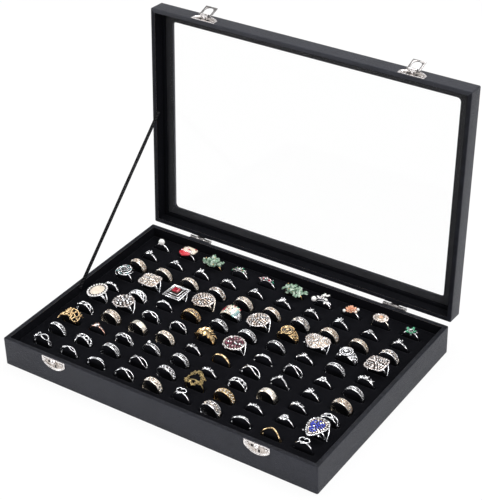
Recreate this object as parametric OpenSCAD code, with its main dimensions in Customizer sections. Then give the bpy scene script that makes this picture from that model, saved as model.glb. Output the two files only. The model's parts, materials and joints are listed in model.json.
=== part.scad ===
// Ring display box: a shallow tray with a slotted velvet pad, and a hinged lid with a glass window.
// The origin is the centre of the tray's underside; +X runs along the hinge, +Y to the hinge, +Z up.
// The lid stands open, resting on its stay ribbon.

/* [Case] */
// Outside length of the case, along the hinge
case_w = 350; // [344:1:372]
// Outside depth of the case, from front to hinge
case_d = 240; // [234:1:262]
// Height of the tray's rim over the surface it stands on
tray_h = 30.5; // [29.5:0.5:36]
// Height of the lid, from its rim to its top
lid_h = 17.5; // [17:0.5:24]
// Air gap between the two rims when the lid is shut
rim_gap = 0.3; // [0.2:0.1:0.6]
// Angle that the open lid has turned through
lid_open = 93.4; // [86:0.1:98]

/* [Boards and coverings] */
// Thickness of the side boards of tray and lid
board_t = 3.8; // [3.4:0.1:4.6]
// Thickness of the board around the window
top_board_t = 2.4; // [2:0.1:3]
// Thickness of the tray's base board
base_t = 2.5; // [2:0.1:3]
// Thickness of the leatherette
cover_t = 0.6; // [0.4:0.1:0.8]
// Thickness of the velvet on the inner walls
lining_t = 0.6; // [0.4:0.1:0.8]
// Thickness of the felt under the base
felt_t = 0.5; // [0.3:0.1:0.8]
// How far the felt stays back from the outer faces
felt_inset = 1.2; // [0.8:0.1:2.5]
// Radius of the upright outer edges
corner_r = 1.5; // [1.2:0.1:2.5]
// Radius of the outer edges of rims and lid top
edge_r = 0.8; // [0.6:0.1:1.2]

/* [Window] */
// Width of the lid border left and right of the window
border_side = 16.5; // [14:0.5:20]
// Width of the lid border in front of and behind the window
border_end = 15.5; // [14:0.5:20]
// Corner radius of the window
window_r = 4; // [2.5:0.5:8]
// Thickness of the glass
glass_t = 2; // [1.6:0.1:2.4]
// Thickness of the bead that holds the glass
bead_t = 1.8; // [1.2:0.1:2.4]
// Width of the bead
bead_w = 4.5; // [3.5:0.5:6]
// Air around the edge of the glass
glass_gap = 0.3; // [0.2:0.1:0.6]

/* [Ring pad] */
// Depth of the pad's surface below the tray's rim
pad_drop = 9.5; // [8.5:0.5:11]
// Distance from the pad's left and right edges to the first ring's centre
pad_margin_x = 23.2; // [22:0.1:25]
// Distance from the pad's front and back edges to the first ring's centre
pad_margin_y = 17.6; // [17:0.1:20]
// Air around the pad
pad_gap = 0.3; // [0.2:0.1:0.5]
// Clearance of each slit around its ring
slit_gap = 0.3; // [0.2:0.05:0.4]
// Radius of a ring's finger hole
ring_r = 8.8; // [8.4:0.1:9.2]
// Thickness of a ring's band
band_t = 1.4; // [1.2:0.1:1.6]
// Height of a ring's centre over the pad's surface
ring_rise = -0.5; // [-1:0.1:0.5]

/* [Hinges] */
// Distance of each hinge's middle from the nearer end of the case
hinge_inset = 60; // [45:1:75]
// Length of a hinge
hinge_w = 25; // [22:1:30]
// Distance of the hinge pin behind the tray's back face
pin_back = 2.5; // [2.4:0.1:3]
// Distance of the hinge pin below the tray's rim
pin_drop = 1; // [0.8:0.1:1.4]
// Outer radius of the hinge knuckles
knuckle_r = 2; // [1.9:0.05:2.1]
// Radius of the hinge pin
hinge_pin_r = 0.8; // [0.7:0.05:0.9]
// Thickness of the hinge leaves
leaf_t = 0.8; // [0.6:0.1:0.9]
// Height of a hinge leaf, from the pin to its edge
leaf_h = 9; // [8:0.5:12]

/* [Latches] */
// Distance of each latch's middle from the nearer end of the case
latch_inset = 61.5; // [50:0.5:75]
// Width of a latch plate
plate_w = 27; // [24:0.5:30]
// Height of a latch plate at its middle
plate_h = 12; // [11.5:0.5:13]
// Height of a latch plate at its sides
plate_side = 5.5; // [5:0.5:7]
// Thickness of the plates
plate_t = 0.6; // [0.5:0.1:0.8]
// Distance from a rim to the straight edge of its plate
plate_set = 0.8; // [0.6:0.1:1.2]
// Width of the loop that swings
loop_w = 13.4; // [13:0.1:14]
// Length of the loop from its pin
loop_l = 13.2; // [13:0.1:13.4]
// Thickness of the loop
loop_t = 0.8; // [0.6:0.1:0.9]
// Width of the arch in the loop
arch_w = 9.4; // [9.2:0.1:9.8]
// Width of the loop's bar past the arch
bar_w = 1.4; // [1.3:0.1:1.6]
// Air between the hanging loop's bar and the dome it snaps over
loop_play = 0.4; // [0.3:0.1:0.5]
// Radius of the dome
nose_r = 2.6; // [2.5:0.05:2.6]
// Height of the dome over its plate
nose_out = 2.4; // [2:0.1:2.5]
// Distance of the latch pin from the plate's face
latch_pin_out = 3.3; // [3:0.1:3.6]
// Distance of the latch pin from the straight edge of its plate
latch_pin_rise = 4.2; // [4.1:0.1:4.4]
// Radius of the latch pin
latch_pin_r = 0.6; // [0.5:0.05:0.7]
// Outer radius of the curl that holds the latch pin
curl_r = 1.9; // [1.6:0.1:2.2]
// Width of the curl that holds the latch pin
curl_w = 8.2; // [7:0.2:8.6]
// Angle of the open loop from hanging straight down
loop_open = 158.6; // [130:0.1:165]
// Length of the nails that hold the metal parts
nail_l = 4; // [3.4:0.1:4]
// Radius of a nail's shank
nail_r = 0.5; // [0.4:0.05:0.6]
// Radius of a nail's head
nail_head_r = 1.1; // [1:0.05:1.3]

/* [Stay] */
// Width of the stay ribbon
ribbon_w = 5; // [4:0.5:6]
// Thickness of the stay ribbon
ribbon_t = 0.7; // [0.5:0.1:0.9]
// Place of the ribbon's tray end behind the middle of the case
stay_tray_y = -11; // [-20:1:0]
// Distance of the ribbon's tray end below the tray's rim
stay_tray_drop = 4.5; // [4:0.5:5]
// Place of the ribbon's lid end behind the middle of the case, with the lid shut
stay_lid_y = -8; // [-20:1:0]
// Distance of the ribbon's lid end above the lid's rim
stay_lid_rise = 3; // [3:0.5:5]

/* [Hidden] */
$fn = 48;

leatherette = "#2f2f34";
velvet = "#15151a";
board_brown = "#8a6f4d";
nickel = "#c9c9cf";
black_felt = "#1b1b1e";
silver = "#d8d8dc";
jade = "#7fb38c";
champagne = "#c8b49a";
clear = "lightblue";

cut = 1;                                    // how far a cutter runs past a face
turn = 0.05;                                // running clearance on a pin
wall = cover_t + board_t + lining_t;        // whole thickness of a side wall
inner_w = case_w - 2 * wall;
inner_d = case_d - 2 * wall;
board_w = case_w - 2 * cover_t;             // outside of the boards
board_d = case_d - 2 * cover_t;

front_y = -case_d / 2;
back_y = case_d / 2;
base_z = felt_t + base_t;                   // top of the base board
pad_z = tray_h - pad_drop;                  // surface of the pad
pad_w = inner_w - 2 * pad_gap;
pad_d = inner_d - 2 * pad_gap;

lid_z = tray_h + rim_gap;                   // the lid's rim, shut
lid_top = lid_z + lid_h;
top_board_z = lid_top - cover_t - top_board_t;
glass_z = top_board_z - glass_t;
bead_z = glass_z - bead_t;
window_w = case_w - 2 * border_side;
window_d = case_d - 2 * border_end;

hinge_x = case_w / 2 - hinge_inset;
latch_x = case_w / 2 - latch_inset;
pin_y = back_y + pin_back;
pin_z = tray_h - pin_drop;

ring_or = ring_r + band_t;
ring_z = pad_z + ring_rise;
ring_cols = 10;
ring_rows = 10;
col_pitch = (pad_w - 2 * pad_margin_x) / (ring_cols - 1);
row_pitch = (pad_d - 2 * pad_margin_y) / (ring_rows - 1);
function ring_x(col) = (col - (ring_cols - 1) / 2) * col_pitch;
function ring_y(row) = ((ring_rows - 1) / 2 - row) * row_pitch;

catch_z = tray_h - plate_set;               // straight edge of the catch plate
latch_z = lid_z + plate_set;                // straight edge of the lid's latch plate
latch_pin_z = latch_z + latch_pin_rise;
latch_pin_y = front_y - plate_t - latch_pin_out;
nail_x = plate_w / 2 - 3.6;                 // nails in a latch plate, from its middle
nail_in = 3.1;                              // nails from the plate's straight edge
nail_head_t = 0.5;                          // height of a nail's head
leaf_nail_x = hinge_w / 4;                  // nails in a hinge leaf, from its middle
leaf_nail_z = leaf_h - 2.8;                 // nails in a hinge leaf, from the pin
knuckle_gap = 0.2;                          // air between knuckles
link_gap = 0.2;                             // air between the case and a knuckle's link
third = hinge_w / 3;
leaf_clear = knuckle_r + 0.3;               // edge of the lid's leaf from the pin
curl_link_w = 5;                            // width of the strap between plate and curl
curl_link_t = 0.7;                          // thickness of that strap
curl_play = 0.3;                            // air between the curl and the loop beside it
lug_t = 0.5;                                // wall of the loop's eyes around the pin
nose_mouth = 0.8;                           // how much of the dome's low side is cut open

stay_x = -inner_w / 2 + ribbon_t / 2 + 0.1;
stay_low = [stay_tray_y, tray_h - stay_tray_drop];
stay_high = opened_point([stay_lid_y, lid_z + stay_lid_rise]);
stay_run = stay_high - stay_low;
stay_angle = atan2(stay_run[1], stay_run[0]);

// Each ring is [kind, width, depth]: bands use the width alone, heads use both.
RINGS = [
    [["pearl", 7, 7], ["motif", 12, 15], ["chips", 25, 18], ["spray", 15, 7], ["spray", 14, 7],
     ["chips", 31, 18], ["spray", 23, 12], ["flower", 13, 13], ["disc", 14, 14], ["flower", 11, 11]],
    [["stone", 6, 6], ["flower", 7, 7], ["stone", 6, 6], ["trio", 9, 5], ["flower", 6.5, 6.5],
     ["stone", 6, 6], ["trio", 9, 5], ["stone", 6.5, 6.5], ["flower", 7, 7], ["stone", 6.5, 6.5]],
    [["band", 6, 0], ["band", 5.5, 0], ["band", 5, 0], ["band", 6, 0], ["band", 6.5, 0],
     ["band", 5, 0], ["band", 7, 0], ["band", 6.5, 0], ["band", 5, 0], ["band", 6, 0]],
    [["disc", 16, 18], ["square", 20, 19], ["square", 18, 20], ["disc", 21, 21], ["dome", 20, 14],
     ["disc", 21, 21], ["signet", 15, 15], ["heart", 21, 20], ["signet", 15, 15], ["square", 19, 19]],
    [["flower", 7, 7], ["band", 6.5, 0], ["trio", 9, 5], ["band", 6, 0], ["band", 5, 0],
     ["band", 5.5, 0], ["band", 4, 0], ["stone", 5, 5], ["band", 4.5, 0], ["trio", 14, 6]],
    [["oval", 18, 23], ["disc", 21, 21], ["cross", 4, 0], ["cross", 3.5, 0], ["leaf", 18, 14],
     ["disc", 21, 21], ["trio", 9, 5], ["cross", 4, 0], ["stone", 7, 7], ["band", 5, 0]],
    [["band", 4.5, 0], ["band", 7, 0], ["band", 6, 0], ["band", 6, 0], ["trio", 9, 5],
     ["band", 2.4, 0], ["cross", 5, 0], ["stone", 5.5, 5.5], ["stone", 6.5, 6.5], ["band", 7, 0]],
    [["leaf", 22, 16], ["stone", 7, 7], ["band", 5, 0], ["stone", 5, 5], ["band", 5, 0],
     ["trio", 8, 4], ["cross", 4, 0], ["band", 6.5, 0], ["trio", 9, 5], ["cross", 4, 0]],
    [["band", 4.5, 0], ["cross", 4, 0], ["band", 5, 0], ["cross", 4, 0], ["band", 5, 0],
     ["leaf", 16, 20], ["band", 6, 0], ["trio", 8, 5], ["flower", 9, 7], ["pear", 20, 27]],
    [["leaf", 18, 8], ["cross", 3, 0], ["cross", 4, 0], ["cross", 4.5, 0], ["band", 6, 0],
     ["heart", 8, 7], ["band", 7, 0], ["cross", 4, 0], ["band", 2.2, 0], ["heart", 8, 7]]
];

function opened_point(p) =
    let(v = p - [pin_y, pin_z], c = cos(lid_open), s = sin(lid_open))
    [pin_y + v[0] * c + v[1] * s, pin_z - v[0] * s + v[1] * c];

// Places a shut-lid piece where the open lid holds it.
module opened() {
    translate([0, pin_y, pin_z]) rotate([-lid_open, 0, 0]) translate([0, -pin_y, -pin_z]) children();
}

module slab(w, d, z0, z1) {
    translate([-w / 2, -d / 2, z0]) cube([w, d, z1 - z0]);
}

// Rectangle with round corners, from plain circles and squares.
module round_rect(w, d, r) {
    square([w, d - 2 * r], center = true);
    square([w - 2 * r, d], center = true);
    for (x = [-1, 1], y = [-1, 1]) translate([x * (w / 2 - r), y * (d / 2 - r)]) circle(r);
}

// Outline of a wall block seen end on, with its far edges rounded.
module round_top(w, z0, z1, r) {
    translate([-w / 2, z0]) square([w, z1 - z0 - r]);
    translate([-w / 2 + r, z0]) square([w - 2 * r, z1 - z0]);
    for (x = [-1, 1]) translate([x * (w / 2 - r), z1 - r]) circle(r);
}

// Block with round upright edges and a round edge around one end: the top, or with flip the bottom.
module case_block(z0, z1, flip = false) {
    middle = z0 + z1;
    intersection() {
        translate([0, 0, z0]) linear_extrude(z1 - z0) round_rect(case_w, case_d, corner_r);
        translate([0, case_d / 2, flip ? middle : 0]) mirror([0, 0, flip ? 1 : 0])
            rotate([90, 0, 0]) linear_extrude(case_d) round_top(case_w, z0, z1, edge_r);
        translate([-case_w / 2, 0, flip ? middle : 0]) mirror([0, 0, flip ? 1 : 0])
            rotate([90, 0, 90]) linear_extrude(case_w) round_top(case_d, z0, z1, edge_r);
    }
}

// One side board, mitred at both ends: side 0 front, 1 right, 2 back, 3 left.
module side_board(side, z0, z1) {
    long = side % 2 == 0 ? board_w : board_d;
    reach = side % 2 == 0 ? board_d : board_w;
    rotate([0, 0, 90 * side]) translate([0, -reach / 2, z0]) linear_extrude(z1 - z0)
        polygon([[-long / 2, 0], [long / 2, 0],
                 [long / 2 - board_t, board_t], [-long / 2 + board_t, board_t]]);
}

// Holes for the nails of one plate: at +-x from the plate's middle, along Y from the case's face.
module nail_shanks(x_mid, x_off, z, side_y, grow = 0) {
    for (x = [-1, 1]) translate([x_mid + x * x_off, side_y, z])
        rotate([side_y < 0 ? -90 : 90, 0, 0]) translate([0, 0, -leaf_t - cut])
            cylinder(r = nail_r + grow, h = nail_l + leaf_t + cut);
}

// All nails that go into the tray, or with lid into the shut lid.
module all_shanks(lid = false, grow = 0) {
    for (m = [-1, 1]) {
        nail_shanks(m * latch_x, nail_x, lid ? latch_z + nail_in : catch_z - nail_in, front_y, grow);
        nail_shanks(m * hinge_x, leaf_nail_x, pin_z + (lid ? leaf_nail_z : -leaf_nail_z), back_y, grow);
    }
}

module tray_board(side) {
    color(board_brown) difference() {
        side_board(side, felt_t, tray_h - cover_t);
        all_shanks(grow = turn);
    }
}

module tray_base_board() {
    color(board_brown) slab(board_w - 2 * board_t, board_d - 2 * board_t, felt_t, base_z);
}

module tray_cover() {
    color(leatherette) difference() {
        case_block(felt_t, tray_h);
        slab(board_w, board_d, felt_t - cut, tray_h - cover_t);
        slab(board_w - 2 * board_t, board_d - 2 * board_t, 0, tray_h + cut);
        all_shanks(grow = turn);
    }
}

module tray_lining() {
    color(velvet) difference() {
        slab(inner_w + 2 * lining_t, inner_d + 2 * lining_t, base_z, tray_h - cover_t);
        slab(inner_w, inner_d, base_z - cut, tray_h);
    }
}

module base_felt() {
    color(black_felt) slab(case_w - 2 * felt_inset, case_d - 2 * felt_inset, 0, felt_t);
}

// How wide the band is across the slit, for each kind of ring.
function band_width(spec) =
    spec[0] == "band" ? spec[1] :
    spec[0] == "cross" ? spec[1] + 1 :
    spec[0] == "signet" || spec[0] == "dome" || spec[0] == "leaf" ? 4 : 2;

module ring_pad() {
    color(velvet) difference() {
        slab(pad_w, pad_d, base_z, pad_z);
        for (row = [0 : ring_rows - 1], col = [0 : ring_cols - 1]) {
            w = band_width(RINGS[row][col]) + 2 * slit_gap;
            r = ring_or + slit_gap;
            translate([ring_x(col) - r, ring_y(row) - w / 2, ring_z - r]) cube([2 * r, w, 2 * r]);
        }
    }
}

module band(w) {
    bevel = min(0.5, w / 4);
    rotate([90, 0, 0]) rotate_extrude()
        polygon([[ring_r, -w / 2], [ring_or - bevel, -w / 2], [ring_or, -w / 2 + bevel],
                 [ring_or, w / 2 - bevel], [ring_or - bevel, w / 2], [ring_r, w / 2]]);
}

// Cut stone in a cup.
module cut_stone(d, h = 3) {
    cylinder(r1 = d / 4, r2 = d / 2, h = h * 0.6);
    translate([0, 0, h * 0.6]) cylinder(r1 = d / 2, r2 = d / 3, h = h * 0.4);
}

// Flat outline raised into a plate with a smaller step on top.
module stepped(h, shrink) {
    linear_extrude(h * 0.6) children();
    translate([0, 0, h * 0.5]) linear_extrude(h * 0.5) scale(shrink) children();
}

module heart_outline(w, d) {
    r = w / 4;
    for (x = [-1, 1]) translate([x * r, d / 2 - r]) circle(r * 1.02);
    polygon([[-w / 2, d / 2 - r], [w / 2, d / 2 - r], [0, -d / 2]]);
}

module pear_outline(w, d) {
    r = w / 2;
    c = [0, d / 2 - r];
    a = acos(r / (d - r));
    translate(c) circle(r);
    polygon([[-r * sin(a), c[1] - r * cos(a)], [0, -d / 2], [r * sin(a), c[1] - r * cos(a)], c]);
}

// Oval from a middle and two round ends.
module oval_outline(w, d) {
    straight = d - w;
    if (straight > 0) square([w, straight], center = true);
    for (y = [-1, 1]) translate([0, y * straight / 2]) circle(w / 2);
}

// How far the band has dropped at x from its top.
function arch_drop(x) = ring_or - sqrt(ring_or * ring_or - x * x);

// The head of a ring, standing on the top of its band.
module ring_head(kind, w, d) {
    if (kind == "pearl") translate([0, 0, w / 2]) sphere(w / 2);
    if (kind == "stone") cut_stone(w);
    if (kind == "trio") {
        cut_stone(d);
        side_x = (w - d * 0.6) / 2;
        for (x = [-1, 1]) translate([x * side_x, 0, -arch_drop(side_x) - 0.3]) cut_stone(d * 0.8);
    }
    if (kind == "flower") {
        cylinder(r = w / 4, h = 2.6);
        for (a = [18 : 72 : 359]) rotate([0, 0, a]) translate([w / 3.2, 0, -0.3])
            cylinder(r = w / 5.2, h = 1.8);
    }
    if (kind == "disc") stepped(3.2, 0.7) circle(d / 2);
    if (kind == "signet") difference() {
        cylinder(r1 = d / 2.4, r2 = d / 2, h = 3);
        translate([0, 0, 2.4]) cylinder(r = d / 3, h = cut);
    }
    if (kind == "square") stepped(3.2, 0.72) round_rect(w, d, 3);
    if (kind == "dome") intersection() {
        rotate([90, 0, 0]) translate([0, -ring_or, -d / 2]) cylinder(r = ring_or + 3, h = d);
        translate([-w / 2, -d / 2, -3]) cube([w, d, 8]);
    }
    if (kind == "heart") stepped(w > 12 ? 3.2 : 2, 0.7) heart_outline(w, d);
    if (kind == "oval") stepped(4, 0.75) oval_outline(w, d);
    if (kind == "pear") stepped(3.6, 0.72) pear_outline(w, d);
    if (kind == "motif") {
        translate([0, d / 5, 0]) linear_extrude(2.4) round_rect(w, d * 0.55, 2);
        translate([0, -d / 4, 0]) cylinder(r = w / 3.2, h = 2);
    }
    if (kind == "spray") for (k = [-2 : 2]) translate([k * w / 6, (k % 2) * d / 6, -arch_drop(k * w / 6) / 2])
        cylinder(r = w / 8, h = 3 + (k % 2));
    if (kind == "leaf") for (k = [-2 : 2])
        translate([k * w / 5.6, (k % 2) * d / 5, -arch_drop(k * w / 5.6) - 0.4]) cylinder(r = w / 7, h = 2.4);
    if (kind == "chips") {
        cylinder(r = d / 3, h = 2);
        for (k = [-3 : 3]) translate([k * (w - 7) / 6, (k % 2 == 0 ? 1 : -1) * d / 6, 0])
            rotate([0, 0, 37 * k]) translate([-3.4, -2.6, 0]) cube([6.8, 5.2, 4.2 - abs(k) * 0.4]);
    }
}

module ring(spec) {
    kind = spec[0];
    if (kind == "band") band(spec[1]);
    else if (kind == "cross") for (a = [-1, 1]) rotate([0, 0, a * 3]) band(spec[1] - 1.2);
    else {
        band(band_width(spec));
        // the post joins the head to the band
        translate([0, 0, ring_r + 0.4]) cylinder(r = min(spec[2], spec[1]) / 5, h = band_t + 0.4);
        translate([0, 0, ring_or]) ring_head(kind, spec[1], spec[2]);
    }
}

module ring_row(row, tint) {
    color(tint) for (col = [0 : ring_cols - 1])
        translate([ring_x(col), ring_y(row), ring_z]) ring(RINGS[row][col]);
}

// Half-fan plate, drawn with its straight edge on Y = 0 and its round edge down.
module fan_outline() {
    sag = plate_h - plate_side;
    r = (plate_w * plate_w / 4 + sag * sag) / (2 * sag);
    intersection() {
        translate([-plate_w / 2, -plate_h]) square([plate_w, plate_h]);
        translate([0, r - plate_h]) circle(r, $fn = 160);
    }
}

module fan_plate() {
    difference() {
        linear_extrude(plate_t) fan_outline();
        for (x = [-1, 1]) translate([x * nail_x, -nail_in, -cut])
            cylinder(r = nail_r + turn, h = plate_t + 2 * cut);
    }
}

// The hollow dome that the loop snaps over; the loop's arch lies around it and its bar under it.
module catch_nose() {
    ball = (nose_r * nose_r + nose_out * nose_out) / (2 * nose_out);
    arch_low = latch_pin_z - loop_l + bar_w - catch_z;
    middle = arch_low + loop_play + nose_r;
    translate([0, middle, plate_t + nose_out - ball]) intersection() {
        difference() {
            sphere(ball, $fn = 64);
            sphere(ball - plate_t, $fn = 64);
        }
        translate([-nose_r - cut, nose_mouth - nose_r, ball - nose_out - plate_t / 2])
            cube([2 * nose_r + 2 * cut, 2 * nose_r, nose_out + cut]);
    }
}

module catch_plate(x) {
    color(nickel) translate([x, front_y, catch_z]) rotate([90, 0, 0]) {
        fan_plate();
        catch_nose();
    }
}

// Nails as separate solids: a domed head on the metal and a shank in the board.
module nail(metal_t) {
    translate([0, 0, -nail_l]) cylinder(r = nail_r, h = nail_l + metal_t);
    translate([0, 0, metal_t]) cylinder(r1 = nail_head_r, r2 = nail_head_r * 0.6, h = nail_head_t);
}

module front_nails(z) {
    color(nickel) for (m = [-1, 1], x = [-1, 1]) translate([m * latch_x + x * nail_x, front_y, z])
        rotate([90, 0, 0]) nail(plate_t);
}

module back_nails(z) {
    color(nickel) for (m = [-1, 1], x = [-1, 1]) translate([m * hinge_x + x * leaf_nail_x, back_y, z])
        rotate([-90, 0, 0]) nail(leaf_t);
}

module catch_nails() {
    front_nails(catch_z - nail_in);
}

module latch_nails() {
    opened() front_nails(latch_z + nail_in);
}

module hinge_tray_nails() {
    back_nails(pin_z - leaf_nail_z);
}

module hinge_lid_nails() {
    opened() back_nails(pin_z + leaf_nail_z);
}

// One hinge leaf in the shut case, with knuckles from each [start, end] along X; up for the lid's.
module hinge_leaf(x, up, knuckles) {
    dir = up ? 1 : -1;
    link_h = leaf_clear + 0.1;
    color(nickel) translate([x, back_y, pin_z]) difference() {
        union() {
            translate([-hinge_w / 2, 0, up ? leaf_clear : -leaf_h])
                cube([hinge_w, leaf_t, leaf_h - leaf_clear]);
            for (k = knuckles) {
                translate([k[0], link_gap, up ? 0 : -link_h]) cube([k[1] - k[0], leaf_t - link_gap, link_h]);
                translate([k[0], pin_back, 0]) rotate([0, 90, 0]) cylinder(r = knuckle_r, h = k[1] - k[0]);
            }
        }
        translate([-hinge_w, pin_back, 0]) rotate([0, 90, 0])
            cylinder(r = hinge_pin_r + (up ? turn : 0), h = 2 * hinge_w);
        for (m = [-1, 1]) translate([m * leaf_nail_x, -cut, dir * leaf_nail_z]) rotate([-90, 0, 0])
            cylinder(r = nail_r + turn, h = leaf_t + 2 * cut);
    }
}

module hinge_tray_leaf(x) {
    hinge_leaf(x, false, [[-hinge_w / 2, -third / 2 - knuckle_gap], [third / 2 + knuckle_gap, hinge_w / 2]]);
}
module hinge_lid_leaf(x) {
    opened() hinge_leaf(x, true, [[-third / 2, third / 2]]);
}

module hinge_pin(x) {
    color(nickel) translate([x - hinge_w / 2, pin_y, pin_z]) rotate([0, 90, 0])
        cylinder(r = hinge_pin_r, h = hinge_w);
}

module stay_ribbon() {
    long = norm(stay_run);
    color(black_felt) translate([stay_x, stay_low[0], stay_low[1]]) rotate([stay_angle, 0, 0])
        translate([-ribbon_t / 2, 0, -ribbon_w / 2]) cube([ribbon_t, long, ribbon_w]);
}

module lid_board(side) {
    color(board_brown) opened() difference() {
        side_board(side, lid_z + cover_t, top_board_z);
        all_shanks(lid = true, grow = turn);
    }
}

// Prism with the window's outline, grown by a margin.
module window_hole(grow, z0, z1) {
    translate([0, 0, z0]) linear_extrude(z1 - z0)
        round_rect(window_w + 2 * grow, window_d + 2 * grow, window_r + grow);
}

module lid_top_board() {
    color(board_brown) opened() difference() {
        slab(board_w, board_d, top_board_z, lid_top - cover_t);
        window_hole(cover_t, top_board_z - cut, lid_top);
    }
}

module lid_cover() {
    color(leatherette) opened() difference() {
        intersection() {
            case_block(lid_z, lid_top);
            case_block(lid_z, lid_top, flip = true);
        }
        slab(board_w - 2 * board_t, board_d - 2 * board_t, lid_z - cut, top_board_z);
        difference() {
            slab(board_w, board_d, lid_z + cover_t, lid_top - cover_t);
            window_hole(cover_t, top_board_z, lid_top);
        }
        window_hole(0, lid_z, lid_top + cut);
        all_shanks(lid = true, grow = turn);
    }
}

module lid_lining() {
    color(velvet) opened() difference() {
        slab(inner_w + 2 * lining_t, inner_d + 2 * lining_t, lid_z + cover_t, bead_z);
        slab(inner_w, inner_d, lid_z, bead_z + cut);
    }
}

module glass_pane() {
    w = board_w - 2 * board_t - 2 * glass_gap;
    d = board_d - 2 * board_t - 2 * glass_gap;
    color(clear, 0.3) opened() slab(w, d, glass_z, top_board_z);
}

module glass_bead() {
    w = board_w - 2 * board_t;
    d = board_d - 2 * board_t;
    color(velvet) opened() difference() {
        slab(w, d, bead_z, glass_z);
        slab(w - 2 * bead_w, d - 2 * bead_w, bead_z - cut, glass_z + cut);
    }
}

// Lid plate: the same fan with its round edge up, and a curl that holds the pin.
module latch_plate(x) {
    color(nickel) opened() translate([x, front_y, latch_z]) rotate([90, 0, 0]) mirror([0, 1, 0]) {
        fan_plate();
        difference() {
            union() {
                translate([-curl_w / 2, -latch_pin_rise, plate_t + latch_pin_out]) rotate([0, 90, 0])
                    cylinder(r = curl_r, h = curl_w);
                translate([-curl_link_w / 2, -latch_pin_rise + curl_r - curl_link_t, plate_t / 2])
                    cube([curl_link_w, curl_link_t, latch_pin_out + plate_t / 2]);
            }
            translate([-curl_w, -latch_pin_rise, plate_t + latch_pin_out]) rotate([0, 90, 0])
                cylinder(r = latch_pin_r, h = 2 * curl_w);
        }
    }
}

module latch_pin(x) {
    color(nickel) opened() translate([x - loop_w / 2, latch_pin_y, latch_pin_z]) rotate([0, 90, 0])
        cylinder(r = latch_pin_r, h = loop_w);
}

// The loop hangs down along -Y of its own drawing plane, with the pin's centre at the origin.
module loop_shape() {
    side_gap = curl_w / 2 + curl_play;
    arch_y = -loop_l + bar_w + arch_w / 2;
    difference() {
        union() {
            translate([0, 0, -loop_t / 2]) linear_extrude(loop_t) difference() {
                translate([-loop_w / 2, -loop_l]) square([loop_w, loop_l]);
                translate([0, arch_y]) circle(arch_w / 2);
                translate([-arch_w / 2, arch_y]) square([arch_w, loop_l]);
            }
            rotate([0, 90, 0]) translate([0, 0, -loop_w / 2]) cylinder(r = latch_pin_r + lug_t, h = loop_w);
        }
        translate([-side_gap, -curl_r - 0.2, -curl_r]) cube([2 * side_gap, 2 * curl_r + 0.4, 2 * curl_r]);
        rotate([0, 90, 0]) translate([0, 0, -loop_w]) cylinder(r = latch_pin_r + turn, h = 2 * loop_w);
    }
}

module latch_loop(x) {
    color(nickel) opened() translate([x, latch_pin_y, latch_pin_z]) rotate([-loop_open, 0, 0])
        rotate([90, 0, 0]) loop_shape();
}

tray_board(0);  // tray_front_board
tray_board(1);  // tray_right_board
tray_board(2);  // tray_back_board
tray_board(3);  // tray_left_board
tray_base_board();
tray_cover();
tray_lining();
base_felt();
ring_pad();
ring_row(0, jade);  // rings_row_01
ring_row(1, silver);  // rings_row_02
ring_row(2, champagne);  // rings_row_03
ring_row(3, silver);  // rings_row_04
ring_row(4, silver);  // rings_row_05
ring_row(5, champagne);  // rings_row_06
ring_row(6, champagne);  // rings_row_07
ring_row(7, silver);  // rings_row_08
ring_row(8, silver);  // rings_row_09
ring_row(9, silver);  // rings_row_10
catch_plate(-latch_x);  // catch_left
catch_plate(latch_x);  // catch_right
catch_nails();
hinge_tray_leaf(-hinge_x);  // hinge_tray_leaf_left
hinge_tray_leaf(hinge_x);  // hinge_tray_leaf_right
hinge_pin(-hinge_x);  // hinge_pin_left
hinge_pin(hinge_x);  // hinge_pin_right
hinge_tray_nails();
stay_ribbon();
lid_board(0);  // lid_front_board
lid_board(1);  // lid_right_board
lid_board(2);  // lid_back_board
lid_board(3);  // lid_left_board
lid_top_board();
lid_cover();
lid_lining();
glass_pane();
glass_bead();
hinge_lid_leaf(-hinge_x);  // hinge_lid_leaf_left
hinge_lid_leaf(hinge_x);  // hinge_lid_leaf_right
hinge_lid_nails();
latch_plate(-latch_x);  // latch_plate_left
latch_plate(latch_x);  // latch_plate_right
latch_pin(-latch_x);  // latch_pin_left
latch_pin(latch_x);  // latch_pin_right
latch_nails();
latch_loop(-latch_x);  // latch_loop_left
latch_loop(latch_x);  // latch_loop_right
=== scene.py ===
"""Ring display box: covers, velvet, metalwork, glass, rings, light and camera round its frame."""

import json
import math
import random
from bisect import bisect_left

import bmesh
import bpy
from mathutils import Matrix, Vector


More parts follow.
